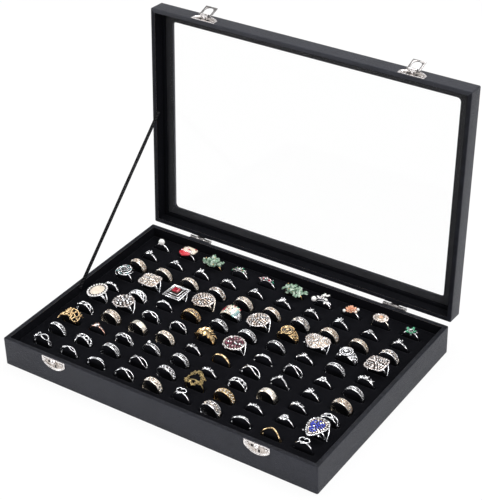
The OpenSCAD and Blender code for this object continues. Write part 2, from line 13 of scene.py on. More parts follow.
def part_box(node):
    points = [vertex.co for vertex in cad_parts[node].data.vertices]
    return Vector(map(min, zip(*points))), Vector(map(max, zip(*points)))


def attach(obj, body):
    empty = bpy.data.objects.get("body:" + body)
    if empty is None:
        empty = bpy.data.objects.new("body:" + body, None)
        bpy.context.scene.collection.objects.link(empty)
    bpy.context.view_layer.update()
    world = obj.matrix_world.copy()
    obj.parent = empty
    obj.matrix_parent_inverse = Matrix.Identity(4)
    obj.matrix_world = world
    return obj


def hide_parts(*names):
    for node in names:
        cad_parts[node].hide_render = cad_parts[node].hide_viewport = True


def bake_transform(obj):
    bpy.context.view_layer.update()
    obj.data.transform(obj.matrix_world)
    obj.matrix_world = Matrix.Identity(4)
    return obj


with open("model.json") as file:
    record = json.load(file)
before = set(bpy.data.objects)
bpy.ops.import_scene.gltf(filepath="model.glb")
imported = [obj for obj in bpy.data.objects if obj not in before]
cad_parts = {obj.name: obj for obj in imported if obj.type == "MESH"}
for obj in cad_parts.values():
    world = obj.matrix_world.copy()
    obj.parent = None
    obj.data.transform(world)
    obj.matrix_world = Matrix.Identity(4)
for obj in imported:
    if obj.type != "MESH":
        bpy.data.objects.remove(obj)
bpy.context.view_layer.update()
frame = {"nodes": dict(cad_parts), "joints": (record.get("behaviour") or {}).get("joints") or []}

bl_info = {
    "name": "Ring Display Box",
    "version": (1, 0, 0),
    "blender": (4, 5, 0),
    "location": "3D View > Sidebar > Ring Box",
    "description": "Builds the finished pieces of a ring display box around its packed frame",
    "category": "Object",
}

MM = 0.001
CASE_LOW, CASE_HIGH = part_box("tray_cover")
PAD_LOW, PAD_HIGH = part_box("ring_pad")
LID_HINGE = next(j for j in frame["joints"] if j["name"] == "lid_hinge")
HINGE = Vector(LID_HINGE["pos_m"])
OPEN_ANGLE = math.radians(LID_HINGE["range_deg"][1])
OPENED = (
    Matrix.Translation(HINGE) @ Matrix.Rotation(-OPEN_ANGLE, 4, "X") @ Matrix.Translation(-HINGE)
)
LID_RIM, LID_TOP = 30.8 * MM, 48.3 * MM
COLUMNS, ROWS = 10, 10
NEAR = 1e-5  # as good as touching


# ---------------------------------------------------------------- sizes and colours


def length(name, about, default):
    return bpy.props.FloatProperty(
        name=name, description=about, default=default, min=0.0, precision=5, unit="LENGTH"
    )


def colour(name, about, default):
    return bpy.props.FloatVectorProperty(
        name=name, description=about, default=default, size=3, min=0.0, max=1.0, subtype="COLOR"
    )


class RingBoxSizes(bpy.types.PropertyGroup):
    """Sizes of the finish on the box."""

    corner: length("Corner radius", "Radius of the upright outer edges", 1.5 * MM)
    edge: length("Edge radius", "Radius of the outer edges of rims and lid top", 0.8 * MM)
    wall: length("Wall", "Whole thickness of a side wall", 5.0 * MM)
    cover: length("Covering", "Thickness of the leatherette", 0.55 * MM)
    lining: length("Lining", "Thickness of the velvet on the inner walls", 0.55 * MM)
    border_side: length("Side border", "Lid border left and right of the window", 16.5 * MM)
    border_end: length("End border", "Lid border in front of and behind the window", 15.5 * MM)
    window_corner: length("Window corner", "Corner radius of the window", 4.0 * MM)
    slit_depth: length("Slit depth", "Depth of a slit in the pad", 13.6 * MM)
    slit_lip: length("Slit lip", "Width of the rounded lip around a slit", 1.6 * MM)
    ribbon: length("Ribbon width", "Width of the stay ribbon", 5.6 * MM)
    grain: length("Leather grain", "Size of one pebble of the leatherette's grain", 0.95 * MM)


class RingBoxColours(bpy.types.PropertyGroup):
    """Colours of the finishes."""

    leatherette: colour("Leatherette", "Embossed covering of the case", (0.0095, 0.0100, 0.0142))
    velvet: colour("Velvet", "Pad and linings", (0.0020, 0.0021, 0.0031))
    ribbon: colour("Ribbon", "Woven stay ribbon", (0.004, 0.004, 0.005))
    nickel: colour("Nickel", "Latches, hinges and nails", (0.94, 0.90, 0.89))
    silver: colour("Silver", "Silver rings", (0.92, 0.92, 0.94))
    champagne: colour("Champagne gold", "Pale gold rings", (0.95, 0.88, 0.78))
    gold: colour("Gold", "Yellow gold rings", (0.80, 0.60, 0.34))
    rose: colour("Rose gold", "Rose gold rings", (0.80, 0.50, 0.40))
    glass: colour("Glass", "Tint of the window pane", (0.996, 0.998, 0.997))


def sizes():
    return bpy.context.scene.ring_box_sizes


def tint_of(name):
    return tuple(getattr(bpy.context.scene.ring_box_colours, name))


# ---------------------------------------------------------------- work at the bench


def rest():
    """Object mode with nothing selected."""
    if bpy.context.object and bpy.context.object.mode != "OBJECT":
        bpy.ops.object.mode_set(mode="OBJECT")
    for thing in bpy.context.selected_objects:
        thing.select_set(False)


def hold(*things):
    """Select these objects alone, the last one active."""
    rest()
    for thing in things:
        thing.select_set(True)
    bpy.context.view_layer.objects.active = things[-1]


def join(*things):
    """Join these objects into the last one."""
    hold(*things)
    if len(things) > 1:
        bpy.ops.object.join()
    return bpy.context.object


def add(name, data):
    """A new object in the scene with this data."""
    thing = bpy.data.objects.new(name, data)
    bpy.context.scene.collection.objects.link(thing)
    return thing


def start(name, kind, scale=(1, 1, 1), **how):
    """A new primitive of this kind, with its place and size in its mesh."""
    rest()
    getattr(bpy.ops.mesh, f"primitive_{kind}_add")(**how)
    thing = bpy.context.object
    thing.name = thing.data.name = name
    thing.scale = scale
    bpy.ops.object.transform_apply(location=True, rotation=True, scale=True)
    return thing


def block(name, low, high):
    """A box between two corners, to be shaped further."""
    low, high = Vector(low), Vector(high)
    return start(name, "cube", high - low, size=1, location=(low + high) / 2)


def edit_mode(thing, kind, action="DESELECT"):
    """Edit mode on a piece with none or, by the action SELECT, all of it picked."""
    if thing.mode != "EDIT":
        hold(thing)
        bpy.ops.object.mode_set(mode="EDIT")
    bpy.ops.mesh.select_mode(type=kind)
    bpy.ops.mesh.select_all(action=action)


def pick_all(thing, kind="VERT"):
    edit_mode(thing, kind, "SELECT")


def pick(thing, kind, test):
    """Pick the faces, edges or points whose middle and direction pass the test."""
    edit_mode(thing, kind)
    shape = bmesh.from_edit_mesh(thing.data)
    if kind == "FACE":
        found = [f for f in shape.faces if test(f.calc_center_median(), f.normal)]
    elif kind == "EDGE":
        ends = [(e, *(v.co for v in e.verts)) for e in shape.edges]
        found = [e for e, p, q in ends if test((p + q) / 2, (q - p).normalized())]
    else:
        found = [v for v in shape.verts if test(v.co, v.normal)]
    if not found:
        raise RuntimeError(f"{thing.name}: nothing to shape there")
    for part in found:
        part.select_set(True)
    shape.select_flush_mode()
    bmesh.update_edit_mesh(thing.data)


def facing_up(at, way):
    return way.z > 0.9


def facing_front(at, way):
    return way.y < -0.9


def edit(operator, **how):
    """One edit-mode operator on what is picked."""
    if "FINISHED" not in operator(**how):
        raise RuntimeError(f"{operator.idname()} did nothing")


def extrude(offset):
    edit(bpy.ops.mesh.extrude_region_move, TRANSFORM_OT_translate={"value": offset})


def resize(x, y, z, centre=(0, 0, 0)):
    edit(bpy.ops.transform.resize, value=(x, y, z), center_override=centre)


def bevel(size, segments, affect="EDGES"):
    edit(bpy.ops.mesh.bevel, offset=size, segments=segments, affect=affect, clamp_overlap=True)


def inset(size, depth=0.0):
    edit(bpy.ops.mesh.inset, thickness=size, depth=depth, use_even_offset=True)


def drop_faces(thing):
    """Leave only the edges of a piece."""
    pick_all(thing, "FACE")
    edit(bpy.ops.mesh.delete, type="ONLY_FACE")


def slice_off(thing, where, way, fill):
    """Cut a piece at a plane and drop what lies beyond it."""
    pick_all(thing, "FACE")
    edit(bpy.ops.mesh.bisect, plane_co=where, plane_no=way, use_fill=fill, clear_outer=True)


def assign(thing, slot):
    """Give what is picked the finish in this slot."""
    thing.active_material_index = slot
    edit(bpy.ops.object.material_slot_assign)


def apply(thing, kind, **settings):
    """A modifier, applied."""
    hold(thing)
    modifier = thing.modifiers.new(kind.title(), kind)
    for key, value in settings.items():
        setattr(modifier, key, value)
    bpy.ops.object.modifier_apply(modifier=modifier.name)


def thicken(thing, by, offset=-1):
    apply(thing, "SOLIDIFY", thickness=by, offset=offset, use_even_offset=True)


def soften(thing, width, angle, **settings):
    """Round off the edges that are sharper than an angle."""
    how = dict(segments=2, limit_method="ANGLE", angle_limit=math.radians(angle))
    apply(thing, "BEVEL", width=width, **how, **settings)


def tidy_up(thing, angle, merge=1e-6, outward=True):
    """Doubles merged, faces outward, smooth up to an angle; back in object mode."""
    pick_all(thing)
    bpy.ops.mesh.remove_doubles(threshold=merge)
    if outward:
        bpy.ops.mesh.select_all(action="SELECT")
        bpy.ops.mesh.normals_make_consistent(inside=False)
    hold(thing)
    bpy.ops.object.shade_smooth_by_angle(angle=math.radians(angle))
    for modifier in list(thing.modifiers):
        bpy.ops.object.modifier_apply(modifier=modifier.name)
    return thing


def paint(mesh, names):
    """Put one or more finishes in a mesh's slots, from the first on."""
    for n, name in enumerate([names] if isinstance(names, str) else names):
        if n < len(mesh.materials):
            mesh.materials[n] = finish(name)
        else:
            mesh.materials.append(finish(name))


def dress(thing, finishes, body, node):
    """Finishes and body of a piece, and the CAD node that it stands for, hidden."""
    rest()
    paint(thing.data, finishes)
    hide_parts(node)
    if body:
        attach(thing, body)


def open_up(thing):
    """Turn a piece made on the shut lid to where the open lid holds it."""
    thing.data.transform(OPENED)
    thing.data.update()


def worn_copy(node, name, soft):
    """A merged copy of a CAD node with its hard edges rounded off."""
    thing = add(name, frame["nodes"][node].data.copy())
    thing.data.name = name
    pick_all(thing, "FACE")
    bpy.ops.mesh.remove_doubles(threshold=2e-6)
    bpy.ops.mesh.select_all(action="SELECT")
    bpy.ops.mesh.dissolve_limited(angle_limit=math.radians(1.5))
    soften(thing, soft, 30, use_clamp_overlap=True)
    return tidy_up(thing, 40, 1e-7, outward=False)


# ---------------------------------------------------------------- finishes


class Value:
    """A number inside a node tree, so that shader maths reads as Python."""

    def __init__(self, shading, socket):
        self.shading, self.socket = shading, socket

    def maths(self, operation, *others):
        terms = dict(enumerate((self, *others)))
        return self.shading.node("Math", terms, operation=operation)[0]

    def __add__(self, other):
        return self.maths("ADD", other)

    def __sub__(self, other):
        return self.maths("SUBTRACT", other)

    def __mul__(self, other):
        return self.maths("MULTIPLY", other)

    def __truediv__(self, other):
        return self.maths("DIVIDE", other)

    __radd__ = __add__

    def within(self, low, high, to_low=0.0, to_high=1.0):
        """The value eased from one range to another."""
        terms = {0: self, 1: low, 2: high, 3: to_low, 4: to_high}
        return self.shading.node("MapRange", terms, interpolation_type="SMOOTHSTEP")[0]


class Node:
    """One node; its outputs are read by name or number."""

    def __init__(self, shading, node):
        self.shading, self.inputs, self.outputs = shading, node.inputs, node.outputs

    def __getitem__(self, key):
        return Value(self.shading, self.outputs[key])


class Shading:
    """A node tree under construction."""

    def __init__(self, tree):
        self.tree = tree
        tree.nodes.clear()

    def put(self, socket, value):
        if isinstance(value, Value):
            self.tree.links.new(value.socket, socket)
        elif hasattr(socket.default_value, "__len__"):
            socket.default_value = (*value, 1.0)[: len(socket.default_value)]
        else:
            socket.default_value = value

    def node(self, kind, sockets=None, **settings):
        node = self.tree.nodes.new("ShaderNode" + kind)
        for key, value in settings.items():
            setattr(node, key, value)
        for key, value in (sockets or {}).items():
            self.put(node.inputs[key], value)
        return Node(self, node)


class Finish(Shading):
    """A material under construction, with its Principled shader."""

    def __init__(self, name):
        self.material = bpy.data.materials.new(name)
        self.material.use_nodes = True
        super().__init__(self.material.node_tree)
        self.shader = self.node("BsdfPrincipled")
        self.out = self.node("OutputMaterial", {0: self.shader[0]})

    def set(self, **values):
        """Values on the Principled shader's sockets."""
        for key, value in values.items():
            self.put(self.shader.inputs[key.replace("_", " ")], value)

    def coat(self, colour, rough, height=None, depth=0.0, strength=1.0):
        """Colour and roughness and, where a height is given, relief."""
        self.set(Base_Color=colour, Roughness=rough)
        if height is not None:
            sockets = {"Height": height, "Distance": depth, "Strength": strength}
            self.set(Normal=self.node("Bump", sockets)[0])

    def overlay(self, kind, shade, amount):
        """Another shader over the Principled one, by an amount."""
        other = self.node(kind, {0: shade})
        mixed = self.node("MixShader", {0: amount, 1: self.shader[0], 2: other[0]})
        self.put(self.out.inputs[0], mixed[0])

    def place(self, scale=(1.0, 1.0, 1.0), turn=(0.0, 0.0, 0.0)):
        """Object coordinates, scaled and turned."""
        raw = self.node("TexCoord")["Object"]
        return self.node("Mapping", {"Vector": raw, "Scale": scale, "Rotation": turn})[0]

    def noise(self, size, detail=3.0, rough=0.55, at=None):
        """Cloudy values from 0 to 1 with features of about this size in metres."""
        at = at or self.place()
        sockets = {"Vector": at, "Scale": 1 / size, "Detail": detail, "Roughness": rough}
        return self.node("TexNoise", sockets)[0]

    def cells(self, size, feature="F1", out="Distance", **sockets):
        """Pebbles or cracks of about this size in metres."""
        sockets = {"Vector": self.place(), "Scale": 1 / size, **sockets}
        return self.node("TexVoronoi", sockets, feature=feature)[out]

    def blend(self, amount, first, second):
        """Two colours mixed by an amount."""
        return self.node("Mix", {0: amount, 6: first, 7: second}, data_type="RGBA")[2]


def lighter(tint, by):
    return tuple(min(1.0, max(0.0, c * by)) for c in tint)


FINISHES = {}


def finish(name):
    """A finish, made when it is first asked for."""
    if name not in FINISHES:
        made = Finish(name)
        maker, *how = MAKERS[name]
        maker(made, *how)
        FINISHES[name] = made.material
    return FINISHES[name]


def leatherette(f):
    """Embossed leatherette: small pebbles, fine creases and a low sheen."""
    base, size = tint_of("leatherette"), sizes().grain
    f.set(Specular_IOR_Level=0.42, Specular_Tint=(0.86, 0.88, 1.0))
    warp = f.noise(size * 4, 2.0)
    pebbles = f.cells(size, "SMOOTH_F1", Smoothness=0.35)
    creases = f.cells(size * 1.7, "DISTANCE_TO_EDGE").within(0.0, 0.16)
    mottle = f.noise(22 * MM, 4.0) * 0.45 + f.noise(size * 3.4, 2.0, 0.7) * 0.55
    height = pebbles * -0.55 + creases * 0.5 + warp * 0.35
    shade = f.blend(mottle.within(0.3, 0.7), lighter(base, 0.62), lighter(base, 1.42))
    f.coat(shade, mottle * 0.08 + pebbles * 0.10 + 0.36, height, 0.5 * MM)


def shaded_leatherette(f):
    """The same leatherette painted darker as shade, for rims and sill."""
    base = tint_of("leatherette")
    f.set(Specular_IOR_Level=0.12)
    pebbles = f.cells(sizes().grain, "SMOOTH_F1", Smoothness=0.35)
    mottle = f.noise(5 * MM, 3.0)
    shade = f.blend(mottle.within(0.3, 0.7), lighter(base, 0.5), lighter(base, 1.1))
    f.coat(shade, pebbles * 0.2 + 0.42, pebbles * -1, 0.06 * MM, 0.6)


def velvet(f):
    """Black velvet: short pile with brushed patches and a faint sheen at grazing angles."""
    base = tint_of("velvet")
    f.set(Sheen_Weight=0.03, Sheen_Roughness=0.4, Specular_IOR_Level=0.05)
    f.set(Sheen_Tint=(0.55, 0.57, 0.66))
    pile = f.noise(0.22 * MM, 2.0, 0.7)
    brushed = f.noise(9 * MM, 3.0)
    shade = f.blend(pile * 0.6 + brushed * 0.4, lighter(base, 0.45), lighter(base, 1.9))
    f.coat(shade, pile * 0.1 + 0.86, pile + brushed * 0.6, 0.09 * MM, 0.7)


def felt(f):
    """Pressed felt with stray fibres."""
    f.set(Sheen_Weight=0.15, Sheen_Roughness=0.6, Specular_IOR_Level=0.15)
    strands = f.noise(0.5 * MM, 4.0, 0.8, f.place((1.0, 0.35, 1.0), (0, 0, 0.7)))
    shade = f.blend(strands.within(0.35, 0.7), (0.010, 0.010, 0.011), (0.030, 0.030, 0.032))
    f.coat(shade, strands * 0.1 + 0.85, strands, 0.12 * MM, 0.8)


def stained_board(f):
    """Fibreboard stained black, with short fibres and a faint sheen."""
    f.set(Specular_IOR_Level=0.35)
    fibres = f.noise(0.9 * MM, 4.0, 0.7, f.place((0.25, 1.0, 1.0)))
    dark_reflection = f.noise(6 * MM, 2.0)
    shade = f.blend(fibres * 0.7 + dark_reflection * 0.3, (0.006, 0.006, 0.008), (0.020, 0.020, 0.023))
    f.coat(shade, fibres * 0.2 + 0.5, fibres, 0.05 * MM, 0.5)


def raw_board(f):
    """Plain fibreboard under the covering."""
    fibres = f.noise(0.8 * MM, 5.0, 0.7, f.place((0.3, 1.0, 1.0)))
    shade = f.blend(fibres, (0.26, 0.17, 0.10), (0.46, 0.33, 0.21))
    f.coat(shade, fibres * 0.15 + 0.7, fibres, 0.08 * MM, 0.6)


def woven_ribbon(f):
    """Black twill ribbon: slanting floats with a painted highlight along its middle, none at the
    selvedges.
    """
    f.set(Specular_IOR_Level=0.12)
    uv = f.node("UVMap", uv_map="weave")[0]
    parts = f.node("SeparateXYZ", {0: uv})
    across, turns = parts[0], parts[1] * 2 * math.pi
    middle = (across - 0.5).maths("ABSOLUTE").within(0.30, 0.17)
    floats = (turns / (3.4 * MM) + across * 7.5).maths("SINE").within(0.15, 0.8)
    threads = ((turns / (0.5 * MM)).maths("SINE") + 1) * 0.5
    shine = floats * middle
    shade = f.blend(shine, lighter(tint_of("ribbon"), 0.7), (0.04, 0.04, 0.044))
    f.coat(shade, shine * -0.2 + 0.62, shine * 0.8 + threads * 0.3 + middle * 0.3, 0.15 * MM, 0.8)


def window_glass(f):
    """Float glass with a faint smear; lamps shine through it."""
    smear = f.noise(60 * MM, 3.0).within(0.45, 0.8, 0.0, 0.012)
    f.set(Base_Color=tint_of("glass"), IOR=1.12, Transmission_Weight=1.0, Roughness=smear)
    f.overlay("BsdfTransparent", (0.95, 0.97, 0.96), f.node("LightPath")["Is Shadow Ray"])


def metal(f, tint, rough, wear=1.0, dark_reflection=None):
    """Polished metal: cloudy polish and fine scratches, with darker clouds painted in as
    reflection.
    """
    shade = tint_of(tint) if isinstance(tint, str) else tint
    f.set(Metallic=1.0)
    cloud = f.noise(2.2 * MM, 3.0)
    scratch = f.noise(0.5 * MM, 2.0, 0.6, f.place((1.0, 0.12, 1.0), (0.3, 0.2, 0.7)))
    # Darker clouds of colour painted in as reflection of dark surroundings.
    worn = f.blend(cloud.within(0.25, 0.6), dark_reflection or lighter(shade, 0.72), shade)
    rough = cloud * 0.12 + scratch * 0.08 + rough
    f.coat(worn, rough, scratch + cloud, 0.02 * MM, 0.35 * wear)


def struck_nickel(f, bright):
    """The hardware's plating: light on the high spots of its relief, dark and brown in its dents as
    painted shade and reflection.
    """
    f.set(Metallic=1.0)
    dents = f.noise(1.5 * MM, 3.0, 0.6)
    fine = f.cells(1.1 * MM, "SMOOTH_F1", Smoothness=0.5)
    level = (dents * 0.7 + fine * 0.5).within(0.36, 0.62)
    # bright scales the whole colour; below one it paints the nickel in shade.
    hollow = (0.10 * bright, 0.065 * bright, 0.05 * bright)
    shade = f.blend(level, hollow, lighter(tint_of("nickel"), bright))
    f.coat(shade, fine * 0.12 + 0.16, dents + fine * 0.4, 0.12 * MM, 0.6)


def cut_gem(f, tint, dark=0.35, metallic=0.0, pale=None):
    """Cut stone: cells of painted glint and painted dark reflection stand in for its facets."""
    f.set(Metallic=metallic, Coat_Weight=0.6, Coat_Roughness=0.02)
    flash = f.cells(0.9 * MM, "F1", "Color")
    level = f.node("SeparateColor", {0: flash})[0]
    f.coat(f.blend(level.within(0.15, 0.65), lighter(tint, dark), pale or tint), level * 0.1 + 0.03)


def polished_stone(f, first, second, size, rough=0.22, veins=0.0):
    """Opaque or milky stone with cloudy colour."""
    f.set(Coat_Weight=0.25, Coat_Roughness=0.1, Subsurface_Weight=0.08)
    f.set(Subsurface_Radius=(0.8 * MM, 1.0 * MM, 0.8 * MM))
    cloud = f.noise(size, 4.0)
    vein = f.cells(size * 1.6, "DISTANCE_TO_EDGE").within(0.0, 0.08)
    shade = f.blend(cloud.within(0.3, 0.7) * (1 - veins + vein * veins), first, second)
    f.coat(shade, cloud * 0.12 + rough, cloud, 0.05 * MM, 0.4)


MAKERS = {
    "leatherette": (leatherette,),
    "shaded_leatherette": (shaded_leatherette,),
    "velvet": (velvet,),
    "felt": (felt,),
    "stained_board": (stained_board,),
    "raw_board": (raw_board,),
    "woven_ribbon": (woven_ribbon,),
    "window_glass": (window_glass,),
    "nickel_plate": (struck_nickel, 1.0),
    # The same nickel painted darker as shade, for loops and hinges.
    "nickel_in_shade": (struck_nickel, 0.32),
    # A darker copy of the nickel for the sunk field of a plate, painted as shade.
    "nickel_field_shaded": (metal, (0.66, 0.60, 0.56), 0.2, 3.0, (0.09, 0.06, 0.04)),
    "silver": (metal, "silver", 0.10),
    # Dark metal: an oxidised finish, also laid as painted shade in recesses, slots and settings.
    "oxidised_and_shade": (metal, (0.030, 0.024, 0.020), 0.40),
    "champagne": (metal, "champagne", 0.14),
    # A darker copy of champagne gold, painted as shade in channel floors and beds of stones.
    "champagne_bed_shaded": (metal, (0.34, 0.28, 0.21), 0.30, 1.0, (0.12, 0.07, 0.05)),
    "gold": (metal, "gold", 0.14, 1.5, (0.20, 0.12, 0.06)),
    "antique_gold": (metal, (0.52, 0.40, 0.19), 0.24, 1.5, (0.10, 0.07, 0.03)),
    "rose_gold": (metal, "rose", 0.14),
    "clear_gem": (cut_gem, (0.80, 0.82, 0.86), 0.2, 0.75, (0.99, 0.99, 1.0)),
    "champagne_gem": (cut_gem, (0.64, 0.45, 0.33), 0.4, 0.5, (0.96, 0.78, 0.64)),
    "blush_gem": (cut_gem, (0.78, 0.60, 0.53), 0.35, 0.6, (0.99, 0.91, 0.87)),
    "brown_gem": (cut_gem, (0.20, 0.11, 0.07), 0.4, 0.3, (0.55, 0.40, 0.30)),
    "garnet": (cut_gem, (0.06, 0.005, 0.02), 0.4, 0.2, (0.26, 0.04, 0.09)),
    "ruby": (cut_gem, (0.42, 0.01, 0.03), 0.3),
    "pink_gem": (cut_gem, (0.55, 0.22, 0.26), 0.3, 0.3, (0.82, 0.60, 0.62)),
    "sapphire": (cut_gem, (0.01, 0.02, 0.38), 0.3, 0.1, (0.06, 0.10, 0.78)),
    "emerald": (cut_gem, (0.02, 0.25, 0.15), 0.4),
    "teal_gem": (cut_gem, (0.03, 0.22, 0.22), 0.4, 0.1, (0.20, 0.48, 0.46)),
    "onyx": (cut_gem, (0.012, 0.012, 0.014), 0.6),
    "jade": (polished_stone, (0.03, 0.10, 0.055), (0.40, 0.56, 0.42), 3.0 * MM, 0.12, 0.5),
    "pale_jade": (polished_stone, (0.24, 0.36, 0.25), (0.72, 0.80, 0.70), 3.0 * MM, 0.10, 0.4),
    "coral": (polished_stone, (0.72, 0.28, 0.13), (0.90, 0.55, 0.38), 2.0 * MM, 0.35),
    "cream": (polished_stone, (0.64, 0.54, 0.42), (0.76, 0.68, 0.57), 4.0 * MM, 0.16),
    "pearl": (polished_stone, (0.84, 0.80, 0.77), (0.97, 0.95, 0.93), 2.0 * MM, 0.12),
    "red_enamel": (polished_stone, (0.45, 0.01, 0.02), (0.62, 0.03, 0.05), 3.0 * MM, 0.12),
    "green_enamel": (polished_stone, (0.02, 0.22, 0.10), (0.05, 0.34, 0.18), 2.0 * MM, 0.14),
}


# ---------------------------------------------------------------- shapes drawn out of an outline


def outline(name, half_x, half_y, z, radius, segments=6):
    """A rectangle with round corners, as one loop of edges."""
    size = (half_x * 2, half_y * 2, 1)
    thing = start(name, "plane", size, size=1, location=(0, 0, z))
    pick_all(thing)
    bevel(radius, segments, "VERTICES")
    drop_faces(thing)
    return thing


def draw_out(thing, at, steps):
    """Pull the picked loop from one outline (half x, half y, height, corner radius) to others."""
    at = (*at, 0.0)[:4]
    for step in steps:
        step = (*step, at[3])[:4]
        extrude((0, 0, step[2] - at[2]))
        shape = bmesh.from_edit_mesh(thing.data)
        for point in shape.verts:
            if point.select:
                for axis in (0, 1):
                    place, straight = abs(point.co[axis]), at[axis] - at[3]
                    if not at[3] or place <= straight + 1e-7:
                        place *= (step[axis] - step[3]) / straight
                    else:
                        place = step[axis] - step[3] + (place - straight) / at[3] * step[3]
                    point.co[axis] = math.copysign(place, point.co[axis])
        bmesh.update_edit_mesh(thing.data)
        at = step
    return thing


def rims(x, y, *steps):
    """Outlines that stand out from one by so much, each at a height and with a corner radius."""
    return [(x + by, y + by, z, *corner) for by, z, *corner in steps]


def drawn(name, first, *steps, segments=6):
    """A skin that starts as one outline and is drawn out through others."""
    skin = outline(name, *first, segments)
    pick_all(skin, "EDGE")
    return draw_out(skin, first, steps)


def pick_open_edges(thing):
    edit_mode(thing, "EDGE")
    bpy.ops.mesh.select_non_manifold(
        extend=False, use_multi_face=False, use_non_contiguous=False, use_verts=False
    )


def bridge(thing):
    """Faces between two open loops."""
    pick_open_edges(thing)
    edit(bpy.ops.mesh.bridge_edge_loops)


def close_ends(thing):
    pick_open_edges(thing)
    edit(bpy.ops.mesh.fill_holes, sides=0)


def round_edge(half_x, half_y, corner, wall, face, steps=3):
    """Outlines that round off the edge from a wall's height to the face on it."""
    radius, found = abs(face - wall), []
    for step in range(steps + 1):
        angle = math.pi / 2 * step / steps
        back, z = radius * (1 - math.cos(angle)), wall + (face - wall) * math.sin(angle)
        found.append((half_x - back, half_y - back, z, corner - back))
    return found


def refinish(name, *nodes):
    """A finish for CAD nodes that stay as they are."""
    for node in nodes:
        thing = frame["nodes"][node]
        if not thing.material_slots:
            thing.data.materials.append(None)
        for slot in thing.material_slots:
            slot.material = finish(name)


# ---------------------------------------------------------------- case, linings, pad and glass


def inner_face():
    """Half sizes of the boards' inner faces, behind the lining."""
    board = sizes().wall - sizes().lining - 0.05 * MM
    return CASE_HIGH.x - board, CASE_HIGH.y - board


def line_walls(name, body, node, low, high):
    """Velvet on the inside of the walls, with a soft edge at its upper height."""
    s = sizes()
    x, y, back = CASE_HIGH.x - s.wall, CASE_HIGH.y - s.wall, s.lining
    way = math.copysign(1, high - low)
    steps = rims(
        x, y, (back, low, back), (0, low, 0.3 * MM), (0, high - way * 0.4 * MM),
        (0.12 * MM, high - way * 0.12 * MM), (0.4 * MM, high), (back, high),
    )
    lining = drawn(name, *steps)
    bridge(lining)
    tidy_up(lining, 50)
    if body == "lid":
        open_up(lining)
    dress(lining, "velvet", body, node)


def cover_case(skin, body, node, dark):
    """Thickness and two finishes for a drawn covering; dark tells which faces get the leatherette
    painted in shade.
    """
    tidy_up(skin, 50)
    thicken(skin, sizes().cover)
    tidy_up(skin, 50, outward=False)
    if body == "lid":
        open_up(skin)
    dress(skin, ("leatherette", "shaded_leatherette"), body, node)
    for face in skin.data.polygons:
        face.material_index = int(dark(face.center, face.normal))


def build_tray_case():
    s = sizes()
    x, y, low, high = CASE_HIGH.x, CASE_HIGH.y, CASE_LOW.z, CASE_HIGH.z
    ix, iy = inner_face()
    skin = drawn(
        "tray_leatherette",
        (x, y, low, s.corner),
        *round_edge(x, y, s.corner, high - s.edge, high),
        *rims(ix, iy, (0.3 * MM, high, 0.5 * MM), (0.09 * MM, high - 0.09 * MM)),
        *rims(ix, iy, (0, high - 0.3 * MM), (0, high - 0.6 * MM)),
    )
    # The rim's upward faces take the leatherette painted in shade.
    cover_case(skin, "tray", "tray_cover", facing_up)
    line_walls("tray_velvet_lining", "tray", "tray_lining", PAD_LOW.z, high - 0.6 * MM)

    x, y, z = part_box("base_felt")[1]
    steps = ((0, z, 2.5 * MM), (0, 0.2 * MM), (-0.06 * MM, 0.06 * MM), (-0.2 * MM, 0))
    cloth = drawn("base_felt_cloth", *rims(x, y, *steps))
    close_ends(cloth)
    tidy_up(cloth, 50)
    dress(cloth, "felt", "tray", "base_felt")
    sides = ("front", "right", "back", "left")
    refinish("raw_board", *(f"tray_{side}_board" for side in (*sides, "base")))


def build_lid_case():
    s = sizes()
    x, y = CASE_HIGH.x, CASE_HIGH.y
    ix, iy = inner_face()
    wx, wy, glass_top = x - s.border_side, y - s.border_end, 45.3 * MM
    fold, corner, soft = 0.7 * MM, s.window_corner, 0.2 * MM
    window = ((fold, LID_TOP, corner + fold), (soft, LID_TOP - soft, corner + soft))
    skin = drawn(
        "lid_leatherette",
        *rims(ix, iy, (0, LID_RIM + 0.6 * MM, 0.5 * MM), (0, LID_RIM + 0.3 * MM)),
        *rims(ix, iy, (0.09 * MM, LID_RIM + 0.09 * MM), (0.3 * MM, LID_RIM)),
        *round_edge(x, y, s.corner, LID_RIM + s.edge, LID_RIM)[::-1],
        *round_edge(x, y, s.corner, LID_TOP - s.edge, LID_TOP),
        *rims(wx, wy, *window, (0, LID_TOP - fold, corner), (0, glass_top, corner)),
    )

    # Faces painted in shade: the rim facing the front by the hinge, and the sill facing up.
    def dark(at, way):
        rim = way.y < -0.8 and at.y < HINGE.y + 12 * MM
        sill = way.z > 0.3 and at.z < 90 * MM
        return rim or sill

    cover_case(skin, "lid", "lid_cover", dark)
    bead_low, bead_high = 41.5 * MM, 43.3 * MM
    line_walls("lid_velvet_lining", "lid", "lid_lining", bead_low, LID_RIM + 0.6 * MM)

    bx, by, wide = x - s.wall + s.lining, y - s.wall + s.lining, 4.5 * MM
    slope = rims(
        bx - wide, by - wide, (1.2 * MM, bead_low), (0.5 * MM, bead_low + 0.2 * MM),
        (0.1 * MM, bead_low + 0.8 * MM), (0, bead_high),
    )
    outer = rims(bx, by, (0, bead_high, 0.5 * MM), (0, bead_low))
    bead = drawn("glass_bead_velvet", *outer, *slope)
    bridge(bead)
    tidy_up(bead, 50)
    open_up(bead)
    dress(bead, "velvet", "lid", "glass_bead")
    refinish("raw_board", *(f"lid_{side}_board" for side in ("front", "right", "back", "left")))
    refinish("stained_board", "lid_top_board")
    refinish("window_glass", "glass_pane")


